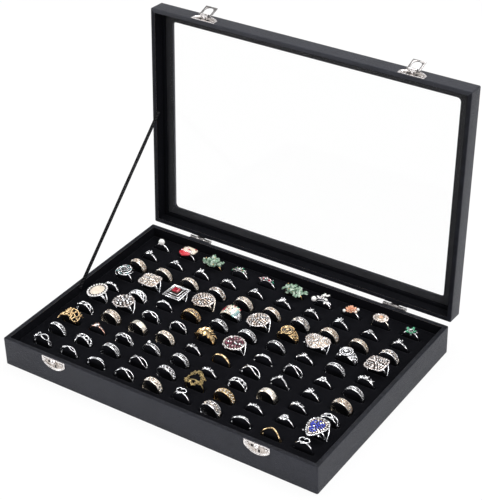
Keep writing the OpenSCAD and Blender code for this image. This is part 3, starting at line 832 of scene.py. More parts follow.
def pad_cell(band):
    """One cell of the pad: a slit for a band this wide, with soft rounded lips."""
    s = sizes()
    top, half, long, lip = PAD_HIGH.z, band / 2, 10.5 * MM, s.slit_lip
    floor, radius = top - s.slit_depth, min(half * 0.9, 1.5 * MM)
    cell = drawn(
        "pad_cell",
        (10.3 * MM, half, floor, radius),
        (long, half + 0.1 * MM, top - 3.2 * MM, radius),
        (long + lip * 0.2, half + lip * 0.25, top - 1.3 * MM, radius + lip * 0.2),
        (long + lip * 0.7, half + lip * 0.75, top - 0.45 * MM, radius + lip * 0.7),
        (long + lip * 1.4, half + lip * 1.5, top - 0.05 * MM, radius + lip * 1.4),
        (long + lip * 2.0, half + lip * 2.2, top + 0.08 * MM, radius + lip * 2.0),
        segments=7,
    )
    pick(cell, "EDGE", lambda at, way: at.z < floor + NEAR and abs(way.z) < 0.5)
    edit(bpy.ops.mesh.edge_face_add)
    size = (*RING_PITCH, 1)
    edge = start("cell_edge", "plane", size, size=1, location=(0, 0, top))
    pick_all(edge, "FACE")
    edit(bpy.ops.mesh.subdivide, number_cuts=7)
    drop_faces(edge)
    x, y = (pitch / 2 - NEAR for pitch in RING_PITCH)
    pick(edge, "VERT", lambda at, way: abs(at.x) < x and abs(at.y) < y)
    edit(bpy.ops.mesh.delete, type="VERT")
    join(edge, cell)
    bridge(cell)
    rest()
    mesh = cell.data
    bpy.data.objects.remove(cell)
    return mesh


def build_pad():
    cells, copies = {}, []
    for row in range(ROWS):
        for column in range(COLUMNS):
            band = round((RINGS[row][column][1] + 0.6) * MM, 5)
            if band not in cells:
                cells[band] = pad_cell(band)
            mesh = cells[band].copy()
            mesh.transform(Matrix.Translation((RING_X[column], RING_Y[row], 0)))
            copies.append(add("ring_pad_velvet", mesh))
    pad = join(*copies)
    pad.name = pad.data.name = "ring_pad_velvet"
    pick_all(pad)
    edit(bpy.ops.mesh.remove_doubles, threshold=NEAR)
    cx = RING_X[-1] + (RING_X[1] - RING_X[0]) / 2
    cy = RING_Y[0] + (RING_Y[0] - RING_Y[1]) / 2
    x, y, top = PAD_HIGH.x, PAD_HIGH.y, PAD_HIGH.z

    def rim(at, way):
        return at.z > top - 1e-4 and (abs(abs(at.x) - cx) < NEAR or abs(abs(at.y) - cy) < NEAR)

    pick(pad, "EDGE", rim)
    edge = ((-1.5 * MM, top - 0.1 * MM), (-0.4 * MM, top - 0.7 * MM), (0, top - 2 * MM))
    halfway = (cx + (x - cx) / 2, cy + (y - cy) / 2, top)
    draw_out(pad, (cx, cy, top), (halfway, *rims(x, y, *edge, (0, PAD_LOW.z))))
    close_ends(pad)
    tidy_up(pad, 60)
    for mesh in cells.values():
        bpy.data.meshes.remove(mesh)
    dress(pad, "velvet", "tray", "ring_pad")


# ---------------------------------------------------------------- latches, hinges and ribbon


STRUCK = ("nickel_plate", "nickel_field_shaded", "oxidised_and_shade")
SHADED_FIELD, DARK = 1, 2
LATCH_X = {"left": -113.5 * MM, "right": 113.5 * MM}
# Heights of the plates' straight edges and of the catch's dome, and where the pin runs.
CATCH_EDGE, LATCH_EDGE, DOME_Z = 29.7 * MM, 31.6 * MM, 27 * MM
LATCH_PIN = (-123.9 * MM, 35.8 * MM)
PLATE = 0.6 * MM
# Dark patches on the plates, painted as shadow in slots, in millimetres: a catch's by left, low,
# right and high, and a latch's by left, right and rise.
CATCH_SLOT_SHADOWS = ((1.3, 20.8, 3.5, 24.2), (-6.2, 24.4, -3.8, 27.4))
LATCH_SLOT_SHADOWS = ((-8.2, -7.0, 1.8), (-6.1, -2.8, 4.2), (2.8, 5.7, 4.2), (6.9, 8.2, 1.8))
NAIL_SIDE, NAIL_RISE = 9.9 * MM, 3.1 * MM


def stand_up(thing, x, y, z):
    """Turn a piece made flat to face the front, and set it in its place."""
    thing.data.transform(Matrix.Translation((x, y, z)) @ Matrix.Rotation(math.pi / 2, 4, "X"))


def build_fan(name, x, straight_edge, up):
    """Stamped half-moon plate, with its straight edge at this height and a raised rim."""
    wide, high, side = 27 * MM, 12 * MM, 5.5 * MM
    sag = high - side
    radius = (wide * wide / 4 + sag * sag) / (2 * sag)
    plate = start(
        name, "cylinder", vertices=128, radius=radius, depth=PLATE,
        location=(0, radius - high, PLATE / 2)
    )
    slice_off(plate, (0, 0, 0), (0, 1, 0), True)
    for way in (1, -1):
        slice_off(plate, (way * wide / 2, 0, 0), (way, 0, 0), True)
    paint(plate.data, STRUCK)
    # The sunk field is painted as shade: dark metal at its edge and a darker nickel in its middle.
    pick(plate, "FACE", facing_up)
    inset(0.9 * MM)
    extrude((0, 0, -0.35 * MM))
    middle = (0, -0.42 * high, 0)
    resize(0.965, 0.93, 1, middle)
    assign(plate, DARK)
    extrude((0, 0, 0))
    resize(0.94, 0.87, 1, middle)
    assign(plate, SHADED_FIELD)
    tidy_up(plate, 30, 2e-5)
    soften(plate, 0.14 * MM, 50)
    tidy_up(plate, 30, outward=False)
    if up:
        plate.data.transform(Matrix.Scale(-1, 4, (0, 1, 0)))
        tidy_up(plate, 30)
    stand_up(plate, x, -CASE_HIGH.y, straight_edge)
    return plate


def darken_into(plate, mark):
    """Give the picked faces of this mark the dark metal, as painted shade, and join it to its
    plate.
    """
    paint(mark.data, STRUCK)
    assign(mark, DARK)
    tidy_up(mark, 40)
    join(mark, plate)


def lay_slot_shadow(plate, low, high):
    """Dark patch inside a thin lip, laid on the field of a plate: painted shadow in place of a
    slot.
    """
    lip, field = 0.22 * MM, CASE_LOW.y - 0.25 * MM
    slot = block(
        "plate_slot_shadow",
        (low[0] - lip, field - 0.16 * MM, low[1] - lip),
        (high[0] + lip, field + 0.2 * MM, high[1] + lip),
    )
    pick(slot, "FACE", facing_front)
    inset(lip)
    extrude((0, 0.1 * MM, 0))
    darken_into(plate, slot)


def shade_nail_seats(plate, x, z):
    """Dark ring painted round each of a plate's two nails, as the shade of its dimple."""
    for side in (-NAIL_SIDE, NAIL_SIDE):
        seat = start(
            "nail_seat", "cylinder", vertices=24, radius=1.5 * MM, depth=0.4 * MM,
            location=(x + side, CASE_LOW.y - 0.12 * MM, z), rotation=(math.radians(90), 0, 0)
        )
        pick(seat, "FACE", facing_front)
        darken_into(plate, seat)


def build_catch_dome(x):
    """Hollow dome of a catch, struck up over the straight edge of its plate."""
    radius, out = 2.6 * MM, 2.4 * MM
    ball = (radius * radius + out * out) / (2 * out)
    dome = start(
        "catch_dome", "uv_sphere", segments=48, ring_count=48, radius=ball,
        location=(0, 0, out - ball)
    )
    slice_off(dome, (0, 0, 0.02 * MM), (0, 0, -1), False)
    slice_off(dome, (0, -radius + 0.8 * MM, 0), (0, -1, 0), False)
    tidy_up(dome, 60)
    thicken(dome, 0.5 * MM)
    soften(dome, 0.12 * MM, 50)
    tidy_up(dome, 50, outward=False)
    stand_up(dome, x, -CASE_HIGH.y - PLATE, DOME_Z)
    paint(dome.data, "nickel_plate")
    return dome


def build_curl(x):
    """Strap of the lid plate, rolled around the pin."""
    wide, radius, pin, thick = 8.2 * MM, 1.9 * MM, 0.62 * MM, 0.7 * MM
    curl = start(
        "latch_curl", "cylinder", vertices=32, radius=radius, depth=wide,
        rotation=(0, math.pi / 2, 0)
    )
    pick(curl, "FACE", lambda at, way: abs(way.x) > 0.9)
    inset(radius - pin)
    edit(bpy.ops.mesh.bridge_edge_loops)
    tidy_up(curl, 40)
    pick(curl, "EDGE", lambda at, way: abs(at.x) > wide / 2 - NEAR and abs(way.x) < 0.5)
    bevel(0.2 * MM, 2)
    paint(curl.data, STRUCK)
    # The ends of the roll are painted dark inside, as shade.
    pick(curl, "FACE", lambda at, way: abs(at.x) > wide / 2 - NEAR)
    inset(0.15 * MM)
    assign(curl, DARK)
    strap = block(
        "latch_strap", (-2.5 * MM, 0.4 * MM, -radius), (2.5 * MM, 3.8 * MM, -radius + thick)
    )
    pick(strap, "EDGE", lambda at, way: abs(way.y) > 0.9)
    bevel(0.2 * MM, 2)
    paint(strap.data, STRUCK)
    tidy_up(strap, 40)
    # Dark patches under the roll beside the strap, painted as shadow.
    for side in (-1.75 * MM, 1.75 * MM):
        hollow = block(
            "strap_shadow",
            (side - 0.6 * MM, 0.7 * MM, -radius - 0.04 * MM),
            (side + 0.6 * MM, 3.4 * MM, -radius + 0.2 * MM),
        )
        pick(hollow, "FACE", lambda at, way: way.z < -0.9)
        darken_into(strap, hollow)
    join(strap, curl)
    curl.data.transform(Matrix.Translation((x, *LATCH_PIN)))
    return tidy_up(curl, 40)


def wear(node, body, soft, plating="nickel_plate", name=None):
    """A piece of CAD hardware with its edges worn, in nickel."""
    worn = worn_copy(node, name or f"{node}_worn", soft)
    dress(worn, plating, body, node)


def build_latches():
    for side, x in LATCH_X.items():
        plate, dome = build_fan(f"catch_{side}_plate", x, CATCH_EDGE, False), build_catch_dome(x)
        for left, low, right, high in CATCH_SLOT_SHADOWS:
            lay_slot_shadow(plate, (x + left * MM, low * MM), (x + right * MM, high * MM))
        shade_nail_seats(plate, x, CATCH_EDGE - NAIL_RISE)
        join(dome, plate)
        dress(plate, STRUCK, "tray", f"catch_{side}")
        plate, curl = build_fan(f"latch_{side}_stamping", x, LATCH_EDGE, True), build_curl(x)
        for low, high, rise in LATCH_SLOT_SHADOWS:
            base = LATCH_EDGE + 0.9 * MM
            lay_slot_shadow(plate, (x + low * MM, base), (x + high * MM, base + rise * MM))
        shade_nail_seats(plate, x, LATCH_EDGE + NAIL_RISE)
        join(curl, plate)
        open_up(plate)
        dress(plate, STRUCK, "lid", f"latch_plate_{side}")
        # The loops take the nickel painted in shade.
        name = f"latch_{side}_loop_worn"
        wear(f"latch_loop_{side}", f"loop_{side}", 0.14 * MM, "nickel_in_shade", name)
        wear(f"latch_pin_{side}", "lid", 0.1 * MM, name=f"latch_{side}_pin_worn")
    wear("catch_nails", "tray", 0.12 * MM)
    wear("latch_nails", "lid", 0.12 * MM)


def build_hinges():
    for side in ("left", "right"):
        # The hinges take the nickel painted in shade.
        for node, body in (("tray_leaf", "tray"), ("lid_leaf", "lid"), ("pin", "tray")):
            wear(f"hinge_{node}_{side}", body, 0.15 * MM, "nickel_in_shade")
    for body in ("tray", "lid"):
        wear(f"hinge_{body}_nails", body, 0.12 * MM, "nickel_in_shade")


RIBBON_LOW = Vector((-169.55, -11.0, 26.0)) * MM
RIBBON_HIGH = Vector((-169.55, 134.53, 159.52)) * MM


def build_ribbon():
    """The stay ribbon, pulled straight between the tray's wall and the lid's."""
    width, thick, stations = sizes().ribbon, 0.35 * MM, 24
    run = RIBBON_HIGH - RIBBON_LOW
    side = Vector((1, 0, 0)).cross(run.normalized())
    strip = start("stay_ribbon_woven", "grid", x_subdivisions=6, y_subdivisions=120, size=1)
    weave = strip.data.uv_layers.new(name="weave")
    spots = {v.index: (v.co.x + 0.5, v.co.y + 0.5) for v in strip.data.vertices}
    for corner in strip.data.loops:
        across, down = spots[corner.vertex_index]
        weave.data[corner.index].uv = (across, down * run.length)
    for layer in [u for u in strip.data.uv_layers if u.name != "weave"]:
        strip.data.uv_layers.remove(layer)
    for point in strip.data.vertices:
        across, down = spots[point.index]
        flare = 1 + 0.10 * math.exp(-((down - 0.03) / 0.05) ** 2)
        bow = 0.12 * MM * math.sin(across * math.pi)
        flutter = 0.10 * MM * math.sin(down * 31) * (across - 0.5)
        out = side * ((across - 0.5) * width * flare)
        point.co = RIBBON_LOW + run * down + out + Vector((bow + flutter, 0, 0))
    tidy_up(strip, 60, 1e-7)
    thicken(strip, thick, 0)
    tidy_up(strip, 60, 1e-8)
    dress(strip, "woven_ribbon", None, "stay_ribbon")
    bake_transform(strip)


# ---------------------------------------------------------------- rings, worked in millimetres

HOLE, BAND, TOP = 8.8, 10.2, 9.5  # finger hole, outside of a band, and where heads start
RING_PITCH = (32.5556 * MM, 21.578 * MM)
RING_X = [(n - (COLUMNS - 1) / 2) * RING_PITCH[0] for n in range(COLUMNS)]
RING_Y = [((ROWS - 1) / 2 - n) * RING_PITCH[1] for n in range(ROWS)]
RING_Z = 20.5 * MM
SLENDER = 0.72  # openwork wire is drawn this much finer than its listed gauge
BEADS = ("silver", "champagne", "gold", "pearl", "oxidised_and_shade")
SHELF = {}
dice = random.Random(7)


def shelve(key, thing):
    """Take a modelled shape out of the scene, to be copied from."""
    rest()
    mesh = thing.data
    bpy.data.objects.remove(thing)
    mesh.name = key
    SHELF[key] = mesh


def piece(key, finishes, at=(0, 0, 0), turn=(0, 0, 0), size=1.0):
    """A copy of a shelved shape; turn is in degrees about X, then Y, then Z."""
    mesh = SHELF[key].copy()
    scale = (size,) * 3 if isinstance(size, (int, float)) else size
    spin = [math.radians(a) for a in turn]
    mesh.transform(
        Matrix.Translation(at)
        @ Matrix.Rotation(spin[2], 4, "Z")
        @ Matrix.Rotation(spin[1], 4, "Y")
        @ Matrix.Rotation(spin[0], 4, "X")
        @ Matrix.Diagonal((*scale, 1))
    )
    paint(mesh, finishes)
    return add(key, mesh)


def around(angle, radius, y=0.0):
    """A point on the ring's round, in degrees from the top."""
    a = math.radians(angle)
    return Vector((radius * math.sin(a), y, radius * math.cos(a)))


def spread(low, high, count):
    return [low + (high - low) * n / max(1, count - 1) for n in range(count)]


def sway(angle, size, rate, phase=0.0):
    """A swing to and fro along the ring's round."""
    return size * math.sin(math.radians(angle) * rate + phase)


def stock_shapes():
    """Model the small shapes that the rings share, each one unit wide."""
    flat, smooth = 5, 60
    how = dict(vertices=8, radius1=0.5, radius2=0.28, depth=0.18, location=(0, 0, 0.09))
    gem = start("gem", "cone", **how)
    pick(gem, "FACE", lambda at, way: way.z < -0.9)
    extrude((0, 0, -0.40))
    resize(0.06, 0.06, 1, (0, 0, -0.4))
    pick(gem, "FACE", facing_up)
    inset(0.05, 0.02)
    shelve("gem", tidy_up(gem, flat))

    for key, sides in (("melee", 6), ("baguette", 4)):
        how = dict(vertices=sides, radius1=0.5, radius2=0.3, depth=0.26, location=(0, 0, 0.1))
        stone = start(key, "cone", **how)
        pick(stone, "FACE", facing_up)
        inset(0.07, 0.03)
        if key == "baguette":
            pick_all(stone)
            how = dict(orient_axis="Z", center_override=(0, 0, 0))
            edit(bpy.ops.transform.rotate, value=math.pi / 4, **how)
        shelve(key, tidy_up(stone, flat))

    bead = start("bead", "uv_sphere", segments=8, ring_count=6, radius=0.5)
    pick(bead, "VERT", lambda at, way: at.z < -0.1)
    resize(1, 1, 0.5)
    shelve("bead", tidy_up(bead, smooth))

    ball = start("ball", "uv_sphere", segments=24, ring_count=16, radius=0.5)
    pick(ball, "VERT", lambda at, way: at.z < -0.3)
    resize(1, 1, 0.85, (0, 0, -0.3))
    shelve("ball", tidy_up(ball, smooth))

    for claws in (4, 6):
        how = dict(vertices=16, radius1=0.2, radius2=0.43, depth=0.8, location=(0, 0, 0.4))
        cup = start(f"setting{claws}", "cone", **how)
        pick(cup, "FACE", facing_up)
        inset(0.06)
        extrude((0, 0, -0.4))
        tidy_up(cup, 40)
        # The cup is painted dark, as shade between the claws.
        paint(cup.data, "oxidised_and_shade")
        parts = [cup]
        for n in range(claws):
            angle = 2 * math.pi * (n + 0.5) / claws
            claw = start(
                "claw", "cylinder", vertices=6, radius=0.065, depth=0.62,
                location=(0.46 * math.cos(angle), 0.46 * math.sin(angle), 0.78)
            )
            pick(claw, "FACE", facing_up)
            inset(0.03, 0.035)
            paint(claw.data, "silver")
            parts.append(tidy_up(claw, 60))
        shelve(f"setting{claws}", join(*parts[::-1]))

    petal = start("petal", "uv_sphere", segments=10, ring_count=8, radius=0.5)
    pick_all(petal)
    resize(1, 0.62, 0.26)
    pick(petal, "VERT", lambda at, way: at.x < -0.15)
    resize(1, 0.45, 0.8)
    pick(petal, "VERT", lambda at, way: at.x > 0.3)
    edit(bpy.ops.transform.translate, value=(0.02, 0, 0.12))
    shelve("petal", tidy_up(petal, smooth))
    leaf = start("leaf", "grid", x_subdivisions=6, y_subdivisions=2, size=1)
    for point in leaf.data.vertices:
        u = point.co.x + 0.5
        width = 0.42 * math.sin(math.pi * min(1, u * 1.02) ** 0.8) + 0.02
        side = point.co.y * 2
        point.co = (u - 0.5, side * width / 2, 0.10 * abs(side) - 0.18 * (u - 0.4) ** 2)
    apply(leaf, "SOLIDIFY", thickness=0.07, offset=0)
    shelve("leaf", tidy_up(leaf, 40))

    for n, (wide, high) in enumerate(((0.72, 0.5), (0.6, 0.62), (0.8, 0.45), (0.55, 0.5))):
        key = f"chip{n}"
        chip = start(key, "ico_sphere", subdivisions=2, radius=0.5)
        pick_all(chip)
        edit(bpy.ops.transform.vertex_random, offset=0.16, uniform=1.0, normal=0.3, seed=11 + n)
        resize(1.0, wide, high)
        shelve(key, tidy_up(chip, 32))
    star = start("star", "circle", vertices=10, radius=0.5, fill_type="NGON")
    for n, point in enumerate(star.data.vertices):
        if n % 2:
            point.co *= 0.45
    pick_all(star, "FACE")
    extrude((0, 0, 0.14))
    inset(0.05, 0.06)
    shelve("star", tidy_up(star, 20))


def hoop(width, metal="silver", kind="domed", outer=BAND, narrow=1.0):
    """A band spun round the finger hole; narrow is its width under the finger against its top."""
    key = f"hoop_{width}_{kind}_{outer}_{narrow}"
    if key not in SHELF:
        thick, middle = outer - HOLE, (outer + HOLE) / 2
        size = (thick, width, 1)
        if kind == "domed":
            ring = start(key, "circle", size, vertices=12, radius=0.5)
            pick(ring, "VERT", lambda at, way: at.x < -1e-4)
            resize(0.4, 1, 1)
        else:
            ring = start(key, "plane", size, size=1)
            pick_all(ring)
            bevel(0.25, 2, "VERTICES")
            drop_faces(ring)
        pick_all(ring, "EDGE")
        edit(bpy.ops.transform.translate, value=(middle, 0, 0))
        how = dict(steps=56, angle=2 * math.pi, center=(0, 0, 0), axis=(0, 1, 0))
        edit(bpy.ops.mesh.spin, use_auto_merge=False, **how)
        tidy_up(ring, 40, 1e-4)
        if kind == "channel":

            def outward(at, way):
                out = way.dot(Vector((at.x, 0, at.z)).normalized()) > 0.95
                return out and math.hypot(at.x, at.z) > middle

            for _ in range(2):
                ring.data.materials.append(None)
            pick(ring, "FACE", outward)
            inset(0.42)
            inset(0.10, -0.45)
            assign(ring, 1)
            tidy_up(ring, 40, 1e-4)
        if narrow != 1.0:
            for point in ring.data.vertices:
                share = (point.co.z / outer + 1) / 2
                point.co.y *= narrow + (1 - narrow) * share ** 2
        shelve(key, ring)
    # The channel's floor is painted dark, as shade in the recess.
    floor = "champagne_bed_shaded" if metal == "champagne" else "oxidised_and_shade"
    return piece(key, (metal, floor) if kind == "channel" else metal)


def wire(points, radius, metal="silver", closed=False, thin_ends=False):
    """Round wire bent along a line of points."""
    curve = bpy.data.curves.new("wire", "CURVE")
    curve.dimensions, curve.bevel_depth, curve.bevel_resolution = "3D", radius, 1
    curve.use_fill_caps = True
    spline = curve.splines.new("POLY")
    spline.points.add(len(points) - 1)
    for n, (spot, at) in enumerate(zip(spline.points, points)):
        spot.co = (*at, 1)
        if thin_ends:
            spot.radius = 0.45 + 0.55 * math.sin(math.pi * n / (len(points) - 1))
    spline.use_cyclic_u = closed
    hold(add("wire", curve))
    bpy.ops.object.convert(target="MESH")
    thing = bpy.context.object
    thing.data.materials.clear()
    paint(thing.data, metal)
    hold(thing)
    bpy.ops.object.shade_smooth()
    return thing


def strand(metal, radius, side, lift=0.0, low=-96, high=96, steps=40, thin=False):
    """Wire over the top of the finger, swaying by side(angle), at a lift or lift(angle)."""
    spots = []
    for a in spread(low, high, steps):
        rise = lift(a) if callable(lift) else lift
        spots.append(around(a, HOLE + radius + 0.1 + rise, side(a)))
    return wire(spots, radius, metal, thin_ends=thin)


def under(metal="silver"):
    """The part of an openwork ring that stays in the pad."""
    return strand(metal, 0.6, lambda a: 0.0, low=84, high=276, steps=26)


def slim(metal="silver"):
    return hoop(1.4, metal, outer=HOLE + 0.9)


def stud(key, finishes, size, radius, y, a):
    """A small shape on the ring's round."""
    return piece(key, finishes, around(a, radius, y), (0, a, 0), size)


def cup(wide, high, metal="silver", z=TOP - 0.5):
    """A big claw setting on the middle of a ring."""
    return piece("setting6", ("oxidised_and_shade", metal), (0, 0, z), size=(wide, wide, high))


def set_stone(x, y, z, size, metal="silver", claws=4, tilt=0):
    """A clear stone in its claws; z is the foot of the setting."""
    up = Vector((math.sin(math.radians(tilt)), 0, math.cos(math.radians(tilt))))
    foot, lean = Vector((x, y, z)), (0, tilt, 0)
    yield piece(f"setting{claws}", ("oxidised_and_shade", metal), foot, lean, (size, size, size * 0.42))
    yield piece("gem", "clear_gem", foot + up * size * 0.30, lean, size * 0.92)


# Each maker of rings below yields the parts of one ring, to be joined.


def plain(width, metal="silver", kind="domed"):
    yield hoop(width, metal, kind)


def studded(width, metal="silver", size=1.35, mix=("clear_gem",)):
    """Band with a channel of small stones."""
    rows, reach = max(1, round((width - 1.6) / 1.6)), 84
    step = math.degrees(size * 1.2 / BAND)
    yield hoop(width, metal, "channel")
    for row in range(rows):
        y = (row - (rows - 1) / 2) * size * 1.15
        shift = step / 2 * (row % 2)
        for n, a in enumerate(spread(-reach, reach, int(2 * reach / step))):
            kind = mix[(n + row) % len(mix)]
            yield stud("bead" if kind in BEADS else "melee", kind, size, BAND - 0.42, y, a + shift)


def solitaire(size=6, metal="silver", claws=6, sides=0):
    """One stone, with small ones beside it on the band."""
    yield slim(metal)
    yield from set_stone(0, 0, TOP - 0.5, size, metal, claws)
    for n in range(sides):
        for way in (-1, 1):
            yield stud("melee", "clear_gem", 1.5, BAND - 0.1, 0, way * (24 + n * 11))


def trio(size=4.6, side=3.4, lean=26):
    """Three stones in a row."""
    yield slim()
    yield from set_stone(0, 0, TOP - 0.5, size)
    for way in (-1, 1):
        at = around(way * lean, TOP - 0.4)
        yield from set_stone(at.x, 0, at.z, side, tilt=way * lean * 0.7)


def blossom(size=7, leaves=5, petals=None):
    """Flower head: small stones, or petals tipped with them, around a middle one."""
    yield slim()
    yield cup(size * 0.6, 1.8)
    for n in range(leaves):
        angle = 360 * n / leaves + 12
        a = math.radians(angle)
        at = (math.cos(a) * size * 0.33, math.sin(a) * size * 0.33, TOP + 0.7)
        if petals:
            yield piece("petal", petals, at, (0, -14, angle), (size * 0.55, size * 0.6, size * 0.5))
            far = (at[0] * 1.9, at[1] * 1.9, at[2] - 0.4)
            yield piece("gem", "clear_gem", far, (0, 0, angle), size * 0.2)
        else:
            yield piece("gem", "clear_gem", at, (0, 0, angle), size * 0.34)
            yield piece("bead", "silver", (at[0] * 1.25, at[1] * 1.25, TOP + 0.7), size=0.9)
    yield piece("ball" if petals else "gem", "clear_gem", (0, 0, TOP + 1.2), size=size * 0.32)


def rose_head(size=12):
    """Carved coral rose between pale buds."""
    yield slim()
    yield cup(size * 0.6, 1.8, "champagne")
    rounds = ((6, 0.30, 0.5, -20), (5, 0.18, 1.5, -42), (3, 0.07, 2.4, -62))
    for ring, (count, out, lift, tip) in enumerate(rounds):
        for n in range(count):
            angle = 360 * n / count + 24 * ring
            a = math.radians(angle)
            at = (math.cos(a) * size * out, math.sin(a) * size * out, TOP + lift)
            yield piece("petal", "coral", at, (0, tip, angle), size * 0.42)
    for x, y, bud in ((0.46, 0.30, "pearl"), (-0.42, -0.36, "pearl"), (0.5, -0.1, "champagne_gem")):
        yield piece("ball", bud, (x * size, y * size, TOP + 0.7), size=size * 0.26)


def bypass(swing=2.2, size=3.2, thick=0.75, pave=False):
    """Two ends of wire that pass each other, with a stone held between them."""
    thick *= SLENDER
    for way in (-1, 1):

        def side(a):
            return way * swing * (1 / (1 + math.exp(-a * way / 14)) - 0.25) * 1.1

        low, high = (-96, 42) if way > 0 else (-42, 96)
        yield strand("silver", thick, side, 0.35, low, high, 30, thin=True)
        if pave:
            for a in spread(low + 40, high - 8, 9) if way > 0 else spread(low + 8, high - 40, 9):
                yield stud("melee", "clear_gem", 1.15, HOLE + thick * 2 + 0.3, side(a), a)
    yield under()
    if size:
        yield from set_stone(0, 0, TOP - 0.4, size)


def woven(strands=3, swing=1.5, turns=3.0, thick=0.62, gem=None, edge=False, size=0):
    """Strands that weave over and under each other."""
    thick, swing = thick * SLENDER, swing * 1.15
    for n in range(strands):
        phase = 2 * math.pi * n / strands

        def side(a):
            return sway(a, swing, turns, phase)

        def weave(a):
            return math.cos(2 * (math.radians(a) * turns + phase))

        yield strand("silver", thick, side, lambda a: 0.3 + 0.3 * weave(a), steps=54)
        if gem:
            for a in spread(-74, 74, 17):
                if weave(a) > 0:
                    yield stud("melee", gem, 1.2, HOLE + 2 * thick + 0.6, side(a), a)
    if edge:
        for way in (-1, 1):
            yield strand("silver", 0.42, lambda a: way * (swing + 0.55))
    if size:
        yield from set_stone(0, 0, TOP - 0.3, size)
    yield under()


def lattice(width=4.5, loops=5, gem=None, thick=0.42):
    """Openwork band: two edge wires with scrolls between them."""
    for way in (-0.92, 0.92):
        yield strand("silver", thick, lambda a: way * width / 2)
    for way in (-1, 1):

        def scroll(a):
            return way * width * 0.42 * math.cos(math.radians(a) * loops)

        yield strand("silver", thick * 0.85, scroll)
    if gem:
        for n in range(-loops // 2, loops // 2 + 2):
            a = (n - 0.5) * 180 / loops
            if abs(a) < 80:
                yield stud("melee", gem, 1.5, BAND - 0.3, 0, a)
    yield under()


def chevron(metal, rise, thick=0.8, gem=None, size=0):
    """Thin band drawn into a point at the top."""

    def side(a):
        return rise * max(0.0, 1 - abs(a) / 55) - rise / 2

    yield strand(metal, thick * SLENDER, side, 0.1, steps=49)
    yield under(metal)
    if gem:
        for a in spread(-50, 50, 13):
            yield stud("melee", gem, 1.2, HOLE + 2 * thick + 0.2, side(a), a)
    if size:
        yield from set_stone(0, rise / 2, TOP - 0.4, size, metal)


def heart_curve(t):
    """A point on the classic heart outline, about 32 wide."""
    y = 13 * math.cos(t) - 5 * math.cos(2 * t) - 2 * math.cos(3 * t) - math.cos(4 * t)
    return 16 * math.sin(t) ** 3, y


def open_heart(wide=10.0, thick=0.6):
    """A heart bent from wire and laid on a slim band."""
    points = []
    for n in range(40):
        x, y = (c / share * wide for c, share in zip(heart_curve(2 * math.pi * n / 40), (32, 34)))
        points.append((x, y + 0.6, math.sqrt(max(1, (BAND + 0.7) ** 2 - x * x))))
    yield wire(points, thick, closed=True)
    for x, y, z in points[0:20:2]:
        yield piece("melee", "clear_gem", (x, y, z + thick * 0.75), size=1.15)
    yield slim()


def infinity():
    """Waves of wire laid over the finger, with small stones along them."""
    yield under()
    for way in (-1, 1):

        def side(a):
            return sway(a, way * 3.0, 3.2) * math.cos(math.radians(a) * 0.7)

        yield strand("silver", 0.5, side, 0.6, -92, 92, 70)
        for a in spread(-58, 58, 15):
            yield stud("melee", "clear_gem", 1.2, HOLE + 1.9, side(a), a)


def shape_point(shape, t, wide, deep, scale=1.0):
    """A point on the outline of a head; t runs from 0 to 1 round it."""
    a = 2 * math.pi * t
    x, y = 0.5 * math.sin(a), 0.5 * math.cos(a)
    if shape == "heart":
        x, y = heart_curve(a)
        x, y = x / 32, (y + 2.5) / 29
        x, y = 0.42 * x + 0.30 * math.sin(a), 0.42 * y + 0.30 * math.cos(a)
    elif shape == "pear":
        x = x * (1 + 0.42 * math.cos(a)) / 1.07
    elif shape in ("square", "box"):
        power = 0.42 if shape == "square" else 0.14
        x = 0.5 * math.copysign(abs(math.sin(a)) ** power, math.sin(a))
        y = 0.5 * math.copysign(abs(math.cos(a)) ** power, math.cos(a))
    return x * wide * scale, y * deep * scale


def dish(shape, wide, deep, z, steps, metal="silver", segments=48):
    """A head's plate at a height: one outline raised through (scale, rise) steps."""
    key = f"dish_{shape}_{wide}_{deep}_{z}_{steps}"
    if key not in SHELF:
        plate = start(key, "circle", vertices=segments, radius=1, fill_type="NGON")
        for n, point in enumerate(plate.data.vertices):
            at = shape_point(shape, n / segments, wide, deep, steps[0][0])
            point.co = (*at, z + steps[0][1])
        pick_all(plate, "FACE")
        for (before, low), (scale, high) in zip(steps, steps[1:]):
            extrude((0, 0, high - low))
            resize(scale / before, scale / before, 1, (0, 0, z + high))
        shelve(key, tidy_up(plate, 50, 1e-4))
    return piece(key, metal)


def shanks(wide, deep, metal="silver", height=TOP + 0.6):
    """Split shoulders that run from the corners of a big head down into the pad."""
    for x in (-1, 1):
        for y in (-1, 1):
            top = Vector((x * wide * 0.40, y * deep * 0.32, height))
            foot = Vector((x * 10.6, y * 0.5, -1.0))
            knee = Vector((x * max(10.9, wide * 0.47), y * deep * 0.16, 5.2))
            spots = [
                (1 - t) ** 2 * top + 2 * t * (1 - t) * knee + t * t * foot for t in spread(0, 1, 14)
            ]
            yield wire(spots, 0.75, metal)
    yield slim(metal)


def run_round(shape, wide, deep, scale, steps):
    """The length run at each of these many steps round an outline."""
    runs = [0.0]
    for n in range(steps):
        p, q = (Vector(shape_point(shape, k / steps, wide, deep, scale)) for k in (n, n + 1))
        runs.append(runs[-1] + (q - p).length)
    return runs


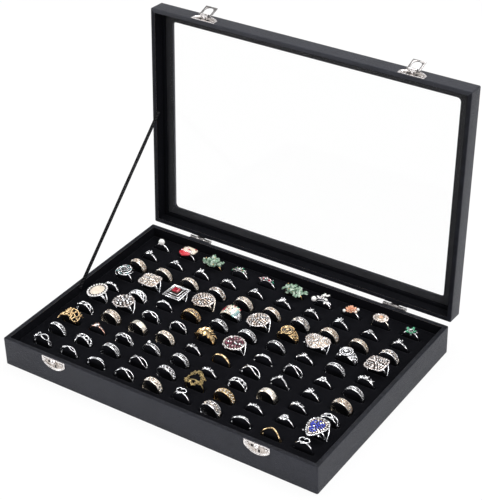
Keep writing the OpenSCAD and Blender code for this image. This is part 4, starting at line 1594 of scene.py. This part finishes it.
def pave_head(
    shape="round", wide=21, deep=21, metal="silver", gem="clear_gem", centre=None, centre_size=0,
    halo="blush_gem", rings=(), spots=None, size=1.8, rim_size=2.2, gap=1.12, height=3.4,
    split=True,
):
    """Big head: beaded rim and rings of small stones over a low dome, on split shoulders."""
    z, mean, fine = TOP - 0.6, (wide + deep) / 2, 240
    steps = ((0.55, -0.4), (0.86, 0.5), (1.0, 1.2), (0.99, 1.6), (0.88, 1.8))
    yield dish(shape, wide, deep, z, steps, metal)
    bed = ((0.95, 1.5), (0.93, 1.75), (0.6, height * 0.72), (0.25, height * 0.85))
    # The bed under the stones is painted dark, as shade in the gaps between them.
    yield dish(shape, wide, deep, z, bed, "oxidised_and_shade" if gap > 1.2 else "champagne_bed_shaded")
    ring, scale = 0, 1 - rim_size / mean * 0.45
    inner = centre_size / 2 + size * 0.45 if centre_size else size * 0.4
    while scale * mean / 2 > inner:
        this = size if ring else rim_size
        count = max(3, int(run_round(shape, wide, deep, scale, 60)[-1] / (this * gap)))
        runs = run_round(shape, wide, deep, scale, fine)
        here = z + 1.7 + (height - 2.0) * (1 - scale**2)
        for n in range(count):
            want = runs[-1] * (n + 0.5 * (ring % 2)) / count
            t = bisect_left(runs, want % runs[-1]) / fine
            x, y = shape_point(shape, t, wide, deep, scale)
            if not ring:
                kind = halo
            elif ring <= len(rings):
                kind = rings[ring - 1]
            else:
                kind = spots[(n + ring) % len(spots)] if spots else gem
            turn = (0, 18 * scale, math.degrees(math.atan2(y, x)))
            yield piece("bead" if kind in BEADS else "melee", kind, (x, y, here), turn, this)
        scale -= (size if ring else (size + rim_size) / 2) * 2.06 / mean
        ring += 1
    if centre_size:
        yield piece("gem", centre, (0, 0, z + height - 0.2), size=centre_size)
        yield cup(centre_size, centre_size * 0.42, metal, z + height - centre_size * 0.35)
    else:
        yield piece("melee", gem, (0, 0, z + height), size=size)
    if split:
        yield from shanks(wide, deep, metal)
    else:
        yield slim(metal)


def cabochon():
    """Smooth cream stone in a beaded border."""
    z, wide, deep = TOP, 18, 23
    steps = ((0.6, -0.3), (0.95, 0.6), (1.0, 1.4), (0.95, 2.0), (0.8, 2.1))
    yield dish("oval", wide, deep, z, steps)
    yield dish("oval", wide, deep, z, ((0.97, 1.6), (0.95, 2.15), (0.7, 2.3)), "oxidised_and_shade")
    stone = tuple((0.76 * math.cos(a), 1.6 + 2.6 * math.sin(a)) for a in spread(0, 1.4, 9))
    yield dish("oval", wide, deep, z, stone, "cream", 40)
    count = 22
    for n in range(count):
        at = shape_point("oval", n / count, wide, deep, 0.95)
        yield piece("bead", "pearl", (*at, z + 2.0), size=2.2)
        if n % 2:
            at = shape_point("oval", n / count, wide, deep, 0.78)
            yield piece("bead", "silver", (*at, z + 2.5), size=0.9)
    yield from shanks(wide * 0.8, deep * 0.5)


def signet(metal):
    """Heavy band that swells into a round face: a star in a raised ring on black."""
    z, face, count = TOP - 0.2, 13.5, 22
    r = face / 2
    yield hoop(11, metal, outer=BAND + 0.5, narrow=0.33)
    steps = ((0.8, -1.2), (0.95, 0.8), (1.0, 1.8), (0.97, 2.3), (0.84, 2.4), (0.80, 1.9))
    yield dish("round", face, face, z, steps, metal)
    yield dish("round", face, face, z, ((0.79, 1.5), (0.79, 2.05), (0.7, 2.1)), "onyx")
    yield piece("star", metal, (0, 0, z + 2.1), (0, 0, 18), (4.6, 4.6, 5))
    foot, turns = Vector((0, 0, z + 2.15)), spread(0, 2 * math.pi, 33)[:-1]
    raised = [Vector((math.sin(t), math.cos(t), 0)) * r * 0.6 + foot for t in turns]
    yield wire(raised, 0.45, metal, closed=True)
    for n in range(count):
        a = 2 * math.pi * n / count
        at = (math.cos(a) * r * 0.92, math.sin(a) * r * 0.92, z + 2.4)
        yield piece("bead", metal, at, size=1.0)
    for way in (-1, 1):
        for n, lean in enumerate((40, 50, 60, 70)):
            for y in (-1, 0, 1):
                kind = "oxidised_and_shade" if (n + y) % 2 else metal
                yield stud("bead", kind, 1.5, BAND + 0.45, y * (3.2 - n * 0.55), way * lean)
        for y in (-1, 1):
            turns = [(way * a, y * (4.6 - (a - 34) * 0.055)) for a in spread(34, 84, 12)]
            yield wire([around(a, BAND + 0.35, side) for a, side in turns], 0.4, metal)


def swirl():
    """Round swirl with a dark stone and teal chips around it."""
    z = TOP
    yield slim()
    yield dish("round", 16, 18, z, ((0.5, -0.3), (0.9, 0.8), (0.9, 1.3), (0.7, 1.6)), "oxidised_and_shade")
    for turn in range(3):
        spots = []
        for t in spread(0, 1, 26):
            a = 2 * math.pi * (turn / 3 + t * 0.72)
            r = 3.4 + 5.6 * t
            spots.append((r * math.cos(a), r * math.sin(a) * 1.15, z + 2.2 - t * 1.2))
        yield wire(spots, 0.6, thin_ends=True)
        for n in range(9, 24, 3):
            at = (spots[n][0] * 0.86, spots[n][1] * 0.86, z + 1.9)
            yield piece("melee", "teal_gem" if n % 2 else "clear_gem", at, size=2.1)
    x, y = -1.2, 0.8
    yield piece("ball", "onyx", (x, y, z + 2.0), size=(6.0, 6.0, 3.4))
    for a in spread(0, 5.9, 15):
        at = (x + 3.5 * math.cos(a), y + 3.5 * math.sin(a), z + 2.0)
        yield piece("bead", "silver", at, size=1.0)


def checked():
    """Stepped square head: bright lines that climb to a red stone."""
    z, wide, deep = TOP - 3.4, 20, 20.5
    steps = ((0.6, -0.8), (0.97, 0.1), (1.0, 0.8), (0.86, 1.3), (0.64, 2.7), (0.4, 4.0))
    yield dish("box", wide, deep, z, steps, "oxidised_and_shade")
    for scale, rise, thick in ((0.99, 0.9, 0.6), (0.78, 1.9, 0.4), (0.58, 3.1, 0.4)):
        x, y, up = wide / 2 * scale, deep / 2 * scale, z + rise
        yield wire([(x, y, up), (-x, y, up), (-x, -y, up), (x, -y, up)], thick, closed=True)
    for n in range(32):
        t = (n % 8 - 3.5) * 2.2
        at = ((t, 8.9), (8.7, t), (t, -8.9), (-8.7, t))[n // 8]
        yield piece("melee", "clear_gem", (*at, z + 1.3), size=1.5)
    yield dish("square", 7.6, 7.2, z, ((1, 3.4), (1, 4.6), (0.8, 5.2), (0.5, 5.3)), "ruby", 24)
    yield from shanks(wide, deep, height=TOP - 2.2)


def dome():
    """Arched head in three fields: red, white and teal stones."""
    yield hoop(4)
    yield hoop(14, outer=BAND + 1.6, narrow=0.3)
    for row in range(8):
        y = (row - 3.5) * 1.85
        off = abs(2 * row - 7)
        reach = 44 - off * 0.8
        rise = BAND + 1.5 - (y / 7.5) ** 2 * 1.1
        for n, a in enumerate(spread(-reach, reach, 13 - off // 2)):
            share = (a + reach) / (2 * reach)
            kind = "champagne" if n % 3 == 2 else "cream"
            if share < 0.2 and 1 < row < 6:
                kind = "ruby"
            elif share > 0.88 and row < 6:
                kind = "teal_gem"
            elif n % 4 == 3 and row % 3 == 1:
                kind = "emerald"
            elif n % 4 == 1 and row % 4 == 3:
                kind = "ruby"
            yield stud("baguette" if kind == "cream" else "melee", kind, 2.0, rise, y, a)


def chip_ring(wide, count, seed):
    """Heap of tumbled jade chips wired over a thin gold band."""
    roll, deep = random.Random(seed), 22
    yield slim("gold")
    heap = ((0.6, -0.8), (1, -0.2), (0.9, 0.4), (0.5, 0.8))
    yield dish("round", wide * 0.6, deep * 0.6, TOP, heap, "oxidised_and_shade", 24)
    for n in range(count):
        layer = n / count
        r = math.sqrt(roll.random()) * (1 - 0.45 * layer)
        a = roll.random() * 2 * math.pi
        x, y = r * (wide - 6) / 2 * math.cos(a), r * (deep - 5) / 2 * math.sin(a)
        z = TOP + 0.2 + 3.4 * layer - 1.2 * r
        size = roll.uniform(4.2, 6.2)
        turn = (roll.uniform(-35, 35), roll.uniform(-35, 35), roll.uniform(0, 360))
        shape = (size, size * roll.uniform(0.75, 1.0), size * 0.85)
        yield piece(f"chip{n % 4}", "pale_jade" if n % 3 == 2 else "jade", (x, y, z), turn, shape)
        if n % 9 == 4:
            at = (x * 1.1, y * 1.1, z + 1.6)
            yield piece("bead", "gold", at, size=roll.uniform(1.2, 1.8))


def leaf_cluster(kinds, wide, seed):
    """Small leaves and stones sprayed along a thin band."""
    roll, deep, count = random.Random(seed), 6, 13
    yield slim()
    stem = [around(a, BAND + 0.9, sway(a, 1.2, 3)) for a in spread(-48, 48, 20)]
    yield wire(stem, 0.45, thin_ends=True)
    reach = math.degrees(math.asin(min(0.95, wide / 2 / (BAND + 1))))
    for n in range(count):
        a = -reach + 2 * reach * n / (count - 1) + roll.uniform(-3, 3)
        y = roll.uniform(-0.5, 0.5) * (deep - 3)
        at = around(a, BAND + 1.2 + roll.uniform(0, 0.9), y)
        turn = (roll.uniform(-20, 20), a + roll.uniform(-15, 15), roll.uniform(0, 360))
        key, low, high = ("gem", 1.6, 2.2) if n % 3 == 1 else ("leaf", 3.2, 4.2)
        yield piece(key, kinds[n % len(kinds)], at, turn, roll.uniform(low, high))
        if n % 2:
            yield piece("bead", "silver", at + Vector((0.8, 0.9, 0.2)), size=1.1)


def winged():
    """White spray of slender petals with a pearl beside it."""
    yield slim()
    for x, y, turn, size in (
        (-3.6, 0.6, 170, 6.6), (-1.6, 4.0, 76, 8.4), (1.6, 5.2, 48, 7.0),
        (2.6, 0.2, -20, 7.6), (6.6, -2.8, -42, 7.4), (4.8, -4.6, -74, 5.6),
    ):
        rise = math.sqrt(max(9, (BAND + 2.2) ** 2 - x * x))
        shape = (size, size * 0.62, size * 0.7)
        yield piece("petal", "pearl", (x, y, rise), (0, 8, turn), shape)
        yield piece("melee", "onyx", (x * 0.9, y * 0.7, rise + 0.7), size=1.5)
    yield piece("ball", "pearl", (-8.4, -2.4, TOP + 0.6), size=5.2)
    stem = [(x, 0.5 * math.sin(x), math.sqrt((BAND + 1.2) ** 2 - x * x)) for x in spread(-9, 9, 16)]
    yield wire(stem, 0.5)


def bow_tie():
    """Cream tablet with red dots over a red heart."""
    z = TOP
    yield slim()
    steps = ((0.7, -0.2), (1.0, 0.8), (1.0, 1.7), (0.86, 2.3), (0.5, 2.5))
    tablet = dish("square", 15.5, 9.6, z, steps, "cream", 32)
    heart = dish("heart", 12.5, 9.0, z, steps, "red_enamel", 40)
    for head, x, y in ((tablet, 0.6, 3.4), (heart, -1.4, -3.6)):
        head.data.transform(Matrix.Translation((x, y, 0)))
        yield head
    for n in range(22):
        x, y = -6.2 + 13.4 * ((n * 0.618) % 1), 0.4 + 6.4 * ((n * 0.37) % 1)
        kind = ("red_enamel", "onyx", "pink_gem", "clear_gem")[n % 4]
        yield piece("bead", kind, (x, y, z + 2.3), size=1.5)
    for x in spread(-6.4, 6.4, 8):
        yield piece("bead", "silver", (x, -1.2, z + 2.2), size=1.4)


def pearl_top():
    """One pearl in a cup."""
    yield slim()
    yield cup(4.6, 1.6)
    yield piece("ball", "pearl", (0, 0, TOP + 2.4), size=6.5)


def leaf_wrap():
    """Gold leaves wrapped round the finger."""
    roll, count = random.Random(5), 15
    yield strand("gold", 0.6, lambda a: sway(a, 1.5, 2.4), 0.3)
    yield strand("gold", 0.6, lambda a: sway(a, -1.7, 2.0), 0.2)
    for n in range(count):
        a = -66 + 132 * n / (count - 1)
        y = (4.2 if n % 2 else -3.4) * (1 - abs(a) / 140)
        spin = (70 if n % 2 else -70) + roll.uniform(-25, 25)
        turn = (roll.uniform(-12, 12), a, spin)
        yield piece("leaf", "gold", around(a, BAND + 0.9, y), turn, (6.2, 7.6, 6))
    for a in spread(-58, 58, 9):
        yield stud("bead", "gold", 1.7, BAND + 0.7, roll.uniform(-1.5, 1.5), a)


def garland():
    """Fine twigs twisted into a garland with an open middle, with small leaves."""
    metal, wide, deep, count, roll = "antique_gold", 18, 21, 44, random.Random(8)
    yield slim(metal)
    for k in range(3):
        spots = []
        for n in range(count):
            t = 2 * math.pi * n / count
            far = 0.74 + 0.05 * k + 0.15 * math.sin(t * (5 + k) + 2 * k)
            far += 0.06 * math.sin(t * 11 + k)
            x, y = wide / 2 * far * math.cos(t), deep / 2 * far * math.sin(t)
            spots.append((x, y, math.sqrt((BAND + 1.4) ** 2 - x * x) + 0.4 * k))
        yield wire(spots, 0.34, metal, closed=True)
    for spot in spots[::3]:
        out = Vector(spot)
        way = math.degrees(math.atan2(out.y, out.x)) + roll.uniform(-50, 50)
        yield piece("leaf", metal, out * 1.04, (0, 10, way), roll.uniform(2.0, 4.0))


def branches():
    """Openwork of gold twigs grown over the finger."""
    metal, wide, deep, twigs, thick, roll = "gold", 21, 15, 8, 0.8, random.Random(2)
    yield slim(metal)
    reach = math.degrees(math.asin(min(0.94, wide / 2 / (BAND + 1.2))))
    for n in range(twigs):
        a = -reach + 2 * reach * (n + 0.5) / twigs
        lean = roll.uniform(-14, 14)
        low, high = -deep / 2 * roll.uniform(0.75, 1), deep / 2 * roll.uniform(0.75, 1)
        spots = []
        for t in spread(0, 1, 12):
            bend, lift = 5 * math.sin(t * 6 + n * 1.7), 0.4 * math.sin(t * 5 + n)
            y = low + (high - low) * t
            spots.append(around(a + lean * (t - 0.5) + bend, BAND + 0.9 + lift, y))
        yield wire(spots, thick, metal, thin_ends=True)
        for k in (1, 4, 8, 10):
            yield piece("bead", metal, spots[k] + Vector((0, 0, 0.4)), size=roll.uniform(1.4, 2.1))
    for y in (-deep * 0.36, 0, deep * 0.36):
        spots = [around(a, BAND + 0.8, y + sway(a, 0.9, 6)) for a in spread(-reach, reach, 22)]
        yield wire(spots, thick, metal, thin_ends=True)


def bead_band():
    """Studded band with a set stone and an upright bead on it."""
    yield from studded(4)
    yield piece("ball", "silver", (-2.4, 1.0, TOP + 1.5), size=3.4)
    yield from set_stone(-2.4, 1.0, TOP + 2.0, 2.2)


SPECKLED = ("champagne", "clear_gem", "champagne_gem", "blush_gem", "brown_gem")
PALE = ("clear_gem", "blush_gem", "champagne", "blush_gem")
TWO_TONE = ("champagne", "clear_gem")
SUNK = {  # how far a ring is pushed down into its slit, by kind
    solitaire: 2.5,
    trio: 2.4,
    blossom: 2.5,
    rose_head: 2.6,
    pearl_top: 2.9,
    bow_tie: 2.6,
    chip_ring: 2.6,
    leaf_cluster: 2.0,
    winged: 2.6,
    bypass: 1.2,
    lattice: 0.6,
    woven: 0.6,
    chevron: 0.8,
    studded: -0.6,
    plain: -0.6,
    infinity: -0.4,
}


def ring(maker, slit=2, **how):
    """A ring of the table: its maker, the width of its slit and its settings."""
    if maker in (studded, plain, lattice):
        how["width"] = slit
    return maker, slit, how


RINGS = [
    [
        ring(pearl_top),
        ring(bow_tie),
        ring(chip_ring, wide=30, count=38, seed=1),
        ring(
            leaf_cluster,
            kinds=("green_enamel", "silver", "champagne_gem", "green_enamel", "antique_gold"),
            wide=15, seed=3,
        ),
        ring(
            leaf_cluster, kinds=("pink_gem", "silver", "emerald", "pink_gem", "red_enamel"),
            wide=14, seed=9,
        ),
        ring(chip_ring, wide=34, count=44, seed=6),
        ring(winged),
        ring(rose_head),
        ring(
            pave_head, wide=15, deep=12.5, metal="champagne", gem="champagne_gem", split=False,
            height=3, rings=("blush_gem", "coral"), size=1.7, centre="coral", centre_size=4,
        ),
        ring(blossom, size=9.5, petals="green_enamel"),
    ],
    [
        ring(solitaire, sides=1),
        ring(blossom),
        ring(solitaire, claws=4),
        ring(trio, size=4.4, side=3.6, lean=24),
        ring(blossom, size=6.6, leaves=6),
        ring(solitaire, sides=3),
        ring(trio, size=5.4, side=3.0, lean=25),
        ring(solitaire, size=6.4, sides=1),
        ring(blossom, leaves=4),
        ring(solitaire, size=6.4, sides=2, claws=4),
    ],
    [
        ring(studded, 6, metal="champagne", mix=SPECKLED),
        ring(studded, 5.5, metal="champagne", mix=PALE),
        ring(studded, 5, metal="champagne", mix=TWO_TONE),
        ring(studded, 6, mix=SPECKLED),
        ring(studded, 6.5, metal="champagne", mix=PALE),
        ring(studded, 5, metal="champagne", mix=SPECKLED),
        ring(studded, 7, mix=PALE),
        ring(studded, 6.5, metal="champagne", mix=SPECKLED),
        ring(studded, 5, metal="champagne", mix=SPECKLED),
        ring(studded, 6, mix=PALE),
    ],
    [
        ring(swirl),
        ring(pave_head, shape="square", wide=20, deep=19, spots=PALE),
        ring(checked),
        ring(
            pave_head, wide=22, deep=22, metal="champagne",
            spots=("champagne_gem", "blush_gem", "champagne_gem", "blush_gem", "clear_gem"),
            size=2.2, gap=1.24,
        ),
        ring(dome, 4),
        ring(
            pave_head, wide=22, deep=22,
            spots=("blush_gem", "champagne_gem", "blush_gem", "clear_gem"), size=2.2, gap=1.24,
        ),
        ring(signet, 4, metal="gold"),
        ring(
            pave_head, shape="heart", wide=24.5, deep=22,
            spots=("clear_gem", "blush_gem", "clear_gem", "champagne_gem"),
        ),
        ring(signet, 4, metal="silver"),
        ring(
            pave_head, shape="square", wide=20, deep=20,
            spots=("clear_gem", "blush_gem", "blush_gem"), size=1.9, gap=1.22,
        ),
    ],
    [
        ring(trio, size=3.8, side=3.2, lean=30),
        ring(woven, 6.5, strands=4, swing=2.3, turns=3.4, thick=0.75, edge=True),
        ring(bypass, size=4.2),
        ring(studded, 6, metal="gold", mix=("gold", "champagne_gem")),
        ring(studded, 5),
        ring(studded, 5.5, mix=("clear_gem", "silver")),
        ring(studded, 4, size=1.7),
        ring(solitaire, size=4.8, sides=4),
        ring(studded, 4.5, size=1.6),
        ring(trio, size=5.6, side=4.8, lean=33),
    ],
    [
        ring(cabochon),
        ring(pave_head, spots=("clear_gem", "silver", "blush_gem"), size=2.5, gap=1.5),
        ring(woven, 5, strands=2, swing=1.6, turns=3.2, thick=0.8, gem="clear_gem"),
        ring(woven, 4.5, strands=2, turns=2.4, thick=0.7, size=3.2),
        ring(leaf_wrap, 4),
        ring(
            pave_head, gem="pink_gem",
            spots=("garnet", "garnet", "pink_gem", "garnet", "garnet", "clear_gem"), size=2.1,
            gap=1.22,
        ),
        ring(bypass, size=3.6, swing=2.8),
        ring(woven, 5, strands=2, swing=2.1, turns=1.6, thick=0.75, gem="clear_gem"),
        ring(blossom, size=7.4, leaves=6),
        ring(studded, 5),
    ],
    [
        ring(lattice, 4.5, gem="clear_gem"),
        ring(studded, 7, metal="champagne", mix=PALE),
        ring(plain, 6, metal="champagne", kind="flat"),
        ring(studded, 6, metal="champagne", mix=(*TWO_TONE, "champagne")),
        ring(trio),
        ring(plain, 2.4, metal="gold"),
        ring(woven, 6, strands=2, swing=2.2, turns=1.9, thick=0.8, gem="clear_gem", size=2.8),
        ring(chevron, metal="silver", rise=3.4, gem="clear_gem", size=4.4),
        ring(solitaire, size=6.4, sides=2),
        ring(studded, 7, metal="champagne", mix=SPECKLED),
    ],
    [
        ring(branches, 4),
        ring(solitaire, size=5.4, metal="rose_gold", sides=2),
        ring(woven, 5, swing=1.8, gem="clear_gem"),
        ring(bead_band),
        ring(studded, 5),
        ring(trio, size=4.0, lean=24),
        ring(lattice, 5, gem="clear_gem"),
        ring(plain, 6.5, metal="champagne"),
        ring(trio, size=4.8, side=3.8, lean=28),
        ring(lattice, 5, loops=4),
    ],
    [
        ring(studded, 4.5, size=1.6),
        ring(lattice, 5, gem="clear_gem", loops=6),
        ring(studded, 5),
        ring(woven, 5, strands=2, swing=2.0, turns=1.8, gem="clear_gem"),
        ring(studded, 5, mix=("clear_gem", "silver")),
        ring(garland, 4),
        ring(studded, 6, metal="gold", mix=("gold", "champagne")),
        ring(trio, size=3.8, side=3.2, lean=24),
        ring(blossom, size=8.4, leaves=6),
        ring(
            pave_head, shape="pear", wide=20, deep=27, gem="sapphire", halo="clear_gem", size=2.0,
            rim_size=2.5, height=3.6, rings=("blush_gem",),
            spots=("sapphire", "sapphire", "sapphire", "clear_gem", "sapphire"), gap=1.21,
        ),
    ],
    [
        ring(infinity, 4),
        ring(woven, 4, strands=2, swing=1.2, turns=3.2, thick=0.6),
        ring(bypass, 5, size=0, swing=3.0, thick=0.9, pave=True),
        ring(woven, 5.5, strands=2, swing=2.1, turns=1.7, thick=0.75, gem="clear_gem", size=2.6),
        ring(studded, 6, metal="champagne", mix=TWO_TONE),
        ring(open_heart),
        ring(studded, 7, mix=PALE),
        ring(bypass, 5, size=3.4, swing=2.8, thick=0.85, pave=True),
        ring(chevron, 2.2, metal="gold", rise=3.2, thick=1.3),
        ring(open_heart),
    ],
]


def build_rings():
    stock_shapes()
    for row in range(ROWS):
        rings = []
        for column, (maker, _, how) in enumerate(RINGS[row]):
            made = join(*maker(**how))
            lean = Matrix.Rotation(math.radians(dice.uniform(-3, 3)), 4, "Y")
            turn = Matrix.Rotation(math.radians(dice.uniform(-2.5, 2.5)), 4, "Z")
            place = (RING_X[column], RING_Y[row], RING_Z - SUNK.get(maker, 0) * MM)
            made.data.transform(Matrix.Translation(place) @ turn @ lean @ Matrix.Scale(MM, 4))
            rings.append(made)
        whole = join(*rings)
        node = f"rings_row_{row + 1:02d}"
        whole.name = whole.data.name = f"{node}_jewellery"
        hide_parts(node)
        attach(whole, "tray")
    for mesh in SHELF.values():
        bpy.data.meshes.remove(mesh)
    SHELF.clear()


# ---------------------------------------------------------------- light, floor and camera


def build_camera():
    data = bpy.data.cameras.new("camera")
    data.lens, data.sensor_width, data.sensor_fit = 110.7, 36, "AUTO"
    data.clip_start, data.clip_end = 0.01, 50
    camera = add("camera", data)
    forward, right = Vector((-0.47488, 0.69065, -0.54543)), Vector((0.83210, 0.55416, -0.02276))
    turn = Matrix((right, right.cross(forward), -forward)).transposed().to_4x4()
    camera.matrix_world = Matrix.Translation(Vector((684.7, -966.8, 894.0)) * MM) @ turn
    bpy.context.scene.camera = camera


def soft_box(name, at, size, power):
    """A flat lamp that faces the box."""
    data = bpy.data.lights.new(name, "AREA")
    data.shape, data.size, data.size_y, data.energy = "RECTANGLE", *size, power
    way = (Vector((0, 0, 0.08)) - Vector(at)).normalized()
    turn = way.to_track_quat("-Z", "Y").to_matrix().to_4x4()
    add(name, data).matrix_world = Matrix.Translation(at) @ turn


def build_stage():
    scene = bpy.context.scene
    scene.view_settings.view_transform = "Standard"
    scene.world = bpy.data.worlds.new("studio")
    scene.world.use_nodes = True
    w = Shading(scene.world.node_tree)
    room = w.node("Background", {0: (0.95, 0.97, 1.0), 1: 0.42})
    backdrop = w.node("Background", {0: (1, 1, 1), 1: 1.0})
    ray = w.node("LightPath")
    straight = ray["Is Camera Ray"].maths("MAXIMUM", ray["Is Transmission Ray"])
    seen = ray["Is Glossy Ray"].maths("MULTIPLY_ADD", 0.5, straight)
    mixed = w.node("MixShader", {0: seen, 1: room[0], 2: backdrop[0]})
    w.node("OutputWorld", {0: mixed[0]})

    how = dict(vertices=96, radius=6, fill_type="NGON", location=(0, 0, -0.2 * MM))
    floor = start("studio_floor", "circle", **how)
    f = Finish("studio_floor")
    f.set(Specular_IOR_Level=0.0)
    speck = f.noise(0.4, 2.0)
    f.coat(f.blend(speck, (0.86, 0.86, 0.86), (0.90, 0.90, 0.90)), speck * 0.05 + 0.9)
    ray = f.node("LightPath")
    seen = (ray["Is Camera Ray"] + ray["Is Transmission Ray"]) * 0.92 + ray["Is Glossy Ray"] * 0.4
    f.overlay("Emission", (1, 1, 1), seen)
    floor.data.materials.append(f.material)

    soft_box("top_light", (0.2, 0.5, 1.6), (1.6, 1.2), 26)
    soft_box("key_light", (1.9, -1.1, 1.0), (1.1, 1.1), 25)
    soft_box("fill_light", (-1.9, -0.5, 0.9), (1.2, 1.0), 22)


# ---------------------------------------------------------------- operators and panel


class Step:
    """What the operators share: a build that can't be done raises an error and stops the script."""

    bl_options = {"REGISTER", "UNDO"}

    def run(self, build):
        build()
        rest()
        return {"FINISHED"}


class RINGBOX_OT_camera(Step, bpy.types.Operator):
    """Place the camera"""

    bl_idname = "ring_box.camera"
    bl_label = "Camera"

    def execute(self, context):
        return self.run(build_camera)


class RINGBOX_OT_ribbon(Step, bpy.types.Operator):
    """Weave the stay ribbon between tray and lid"""

    bl_idname = "ring_box.ribbon"
    bl_label = "Stay ribbon"

    def execute(self, context):
        return self.run(build_ribbon)


class RINGBOX_OT_tray_case(Step, bpy.types.Operator):
    """Cover and line the tray"""

    bl_idname = "ring_box.tray_case"
    bl_label = "Tray case"

    def execute(self, context):
        return self.run(build_tray_case)


class RINGBOX_OT_lid_case(Step, bpy.types.Operator):
    """Cover and line the lid and set its glass"""

    bl_idname = "ring_box.lid_case"
    bl_label = "Lid case"

    def execute(self, context):
        return self.run(build_lid_case)


class RINGBOX_OT_pad(Step, bpy.types.Operator):
    """Make the slitted velvet pad"""

    bl_idname = "ring_box.pad"
    bl_label = "Ring pad"

    def execute(self, context):
        return self.run(build_pad)


class RINGBOX_OT_latches(Step, bpy.types.Operator):
    """Make the two latches and their catches"""

    bl_idname = "ring_box.latches"
    bl_label = "Latches"

    def execute(self, context):
        return self.run(build_latches)


class RINGBOX_OT_hinges(Step, bpy.types.Operator):
    """Make the two hinges"""

    bl_idname = "ring_box.hinges"
    bl_label = "Hinges"

    def execute(self, context):
        return self.run(build_hinges)


class RINGBOX_OT_rings(Step, bpy.types.Operator):
    """Make the hundred rings and set them in the pad"""

    bl_idname = "ring_box.rings"
    bl_label = "Rings"

    def execute(self, context):
        return self.run(build_rings)


class RINGBOX_OT_stage(Step, bpy.types.Operator):
    """Set up the floor, the light and the backdrop"""

    bl_idname = "ring_box.stage"
    bl_label = "Stage"

    def execute(self, context):
        return self.run(build_stage)


STEPS = (
    RINGBOX_OT_camera,
    RINGBOX_OT_ribbon,
    RINGBOX_OT_tray_case,
    RINGBOX_OT_lid_case,
    RINGBOX_OT_pad,
    RINGBOX_OT_latches,
    RINGBOX_OT_hinges,
    RINGBOX_OT_rings,
    RINGBOX_OT_stage,
)


class RINGBOX_PT_panel(bpy.types.Panel):
    """Sizes, colours and steps of the ring display box"""

    bl_idname = "RINGBOX_PT_panel"
    bl_label = "Ring Display Box"
    bl_space_type = "VIEW_3D"
    bl_region_type = "UI"
    bl_category = "Ring Box"

    def draw(self, context):
        layout = self.layout
        for group in (context.scene.ring_box_sizes, context.scene.ring_box_colours):
            column = layout.column()
            for name in group.bl_rna.properties.keys():
                if name not in ("rna_type", "name"):
                    column.prop(group, name)
        for step in STEPS:
            layout.operator(step.bl_idname)


CLASSES = (RingBoxSizes, RingBoxColours, *STEPS, RINGBOX_PT_panel)


def register():
    for one in CLASSES:
        bpy.utils.register_class(one)
    bpy.types.Scene.ring_box_sizes = bpy.props.PointerProperty(type=RingBoxSizes)
    bpy.types.Scene.ring_box_colours = bpy.props.PointerProperty(type=RingBoxColours)


def unregister():
    del bpy.types.Scene.ring_box_sizes
    del bpy.types.Scene.ring_box_colours
    for one in reversed(CLASSES):
        bpy.utils.unregister_class(one)


def main():
    register()
    for step in STEPS:
        name = step.bl_idname.split(".")[1]
        if getattr(bpy.ops.ring_box, name)() != {"FINISHED"}:
            raise RuntimeError(f"{step.bl_label} did not finish")


if __name__ == "__main__":
    main()
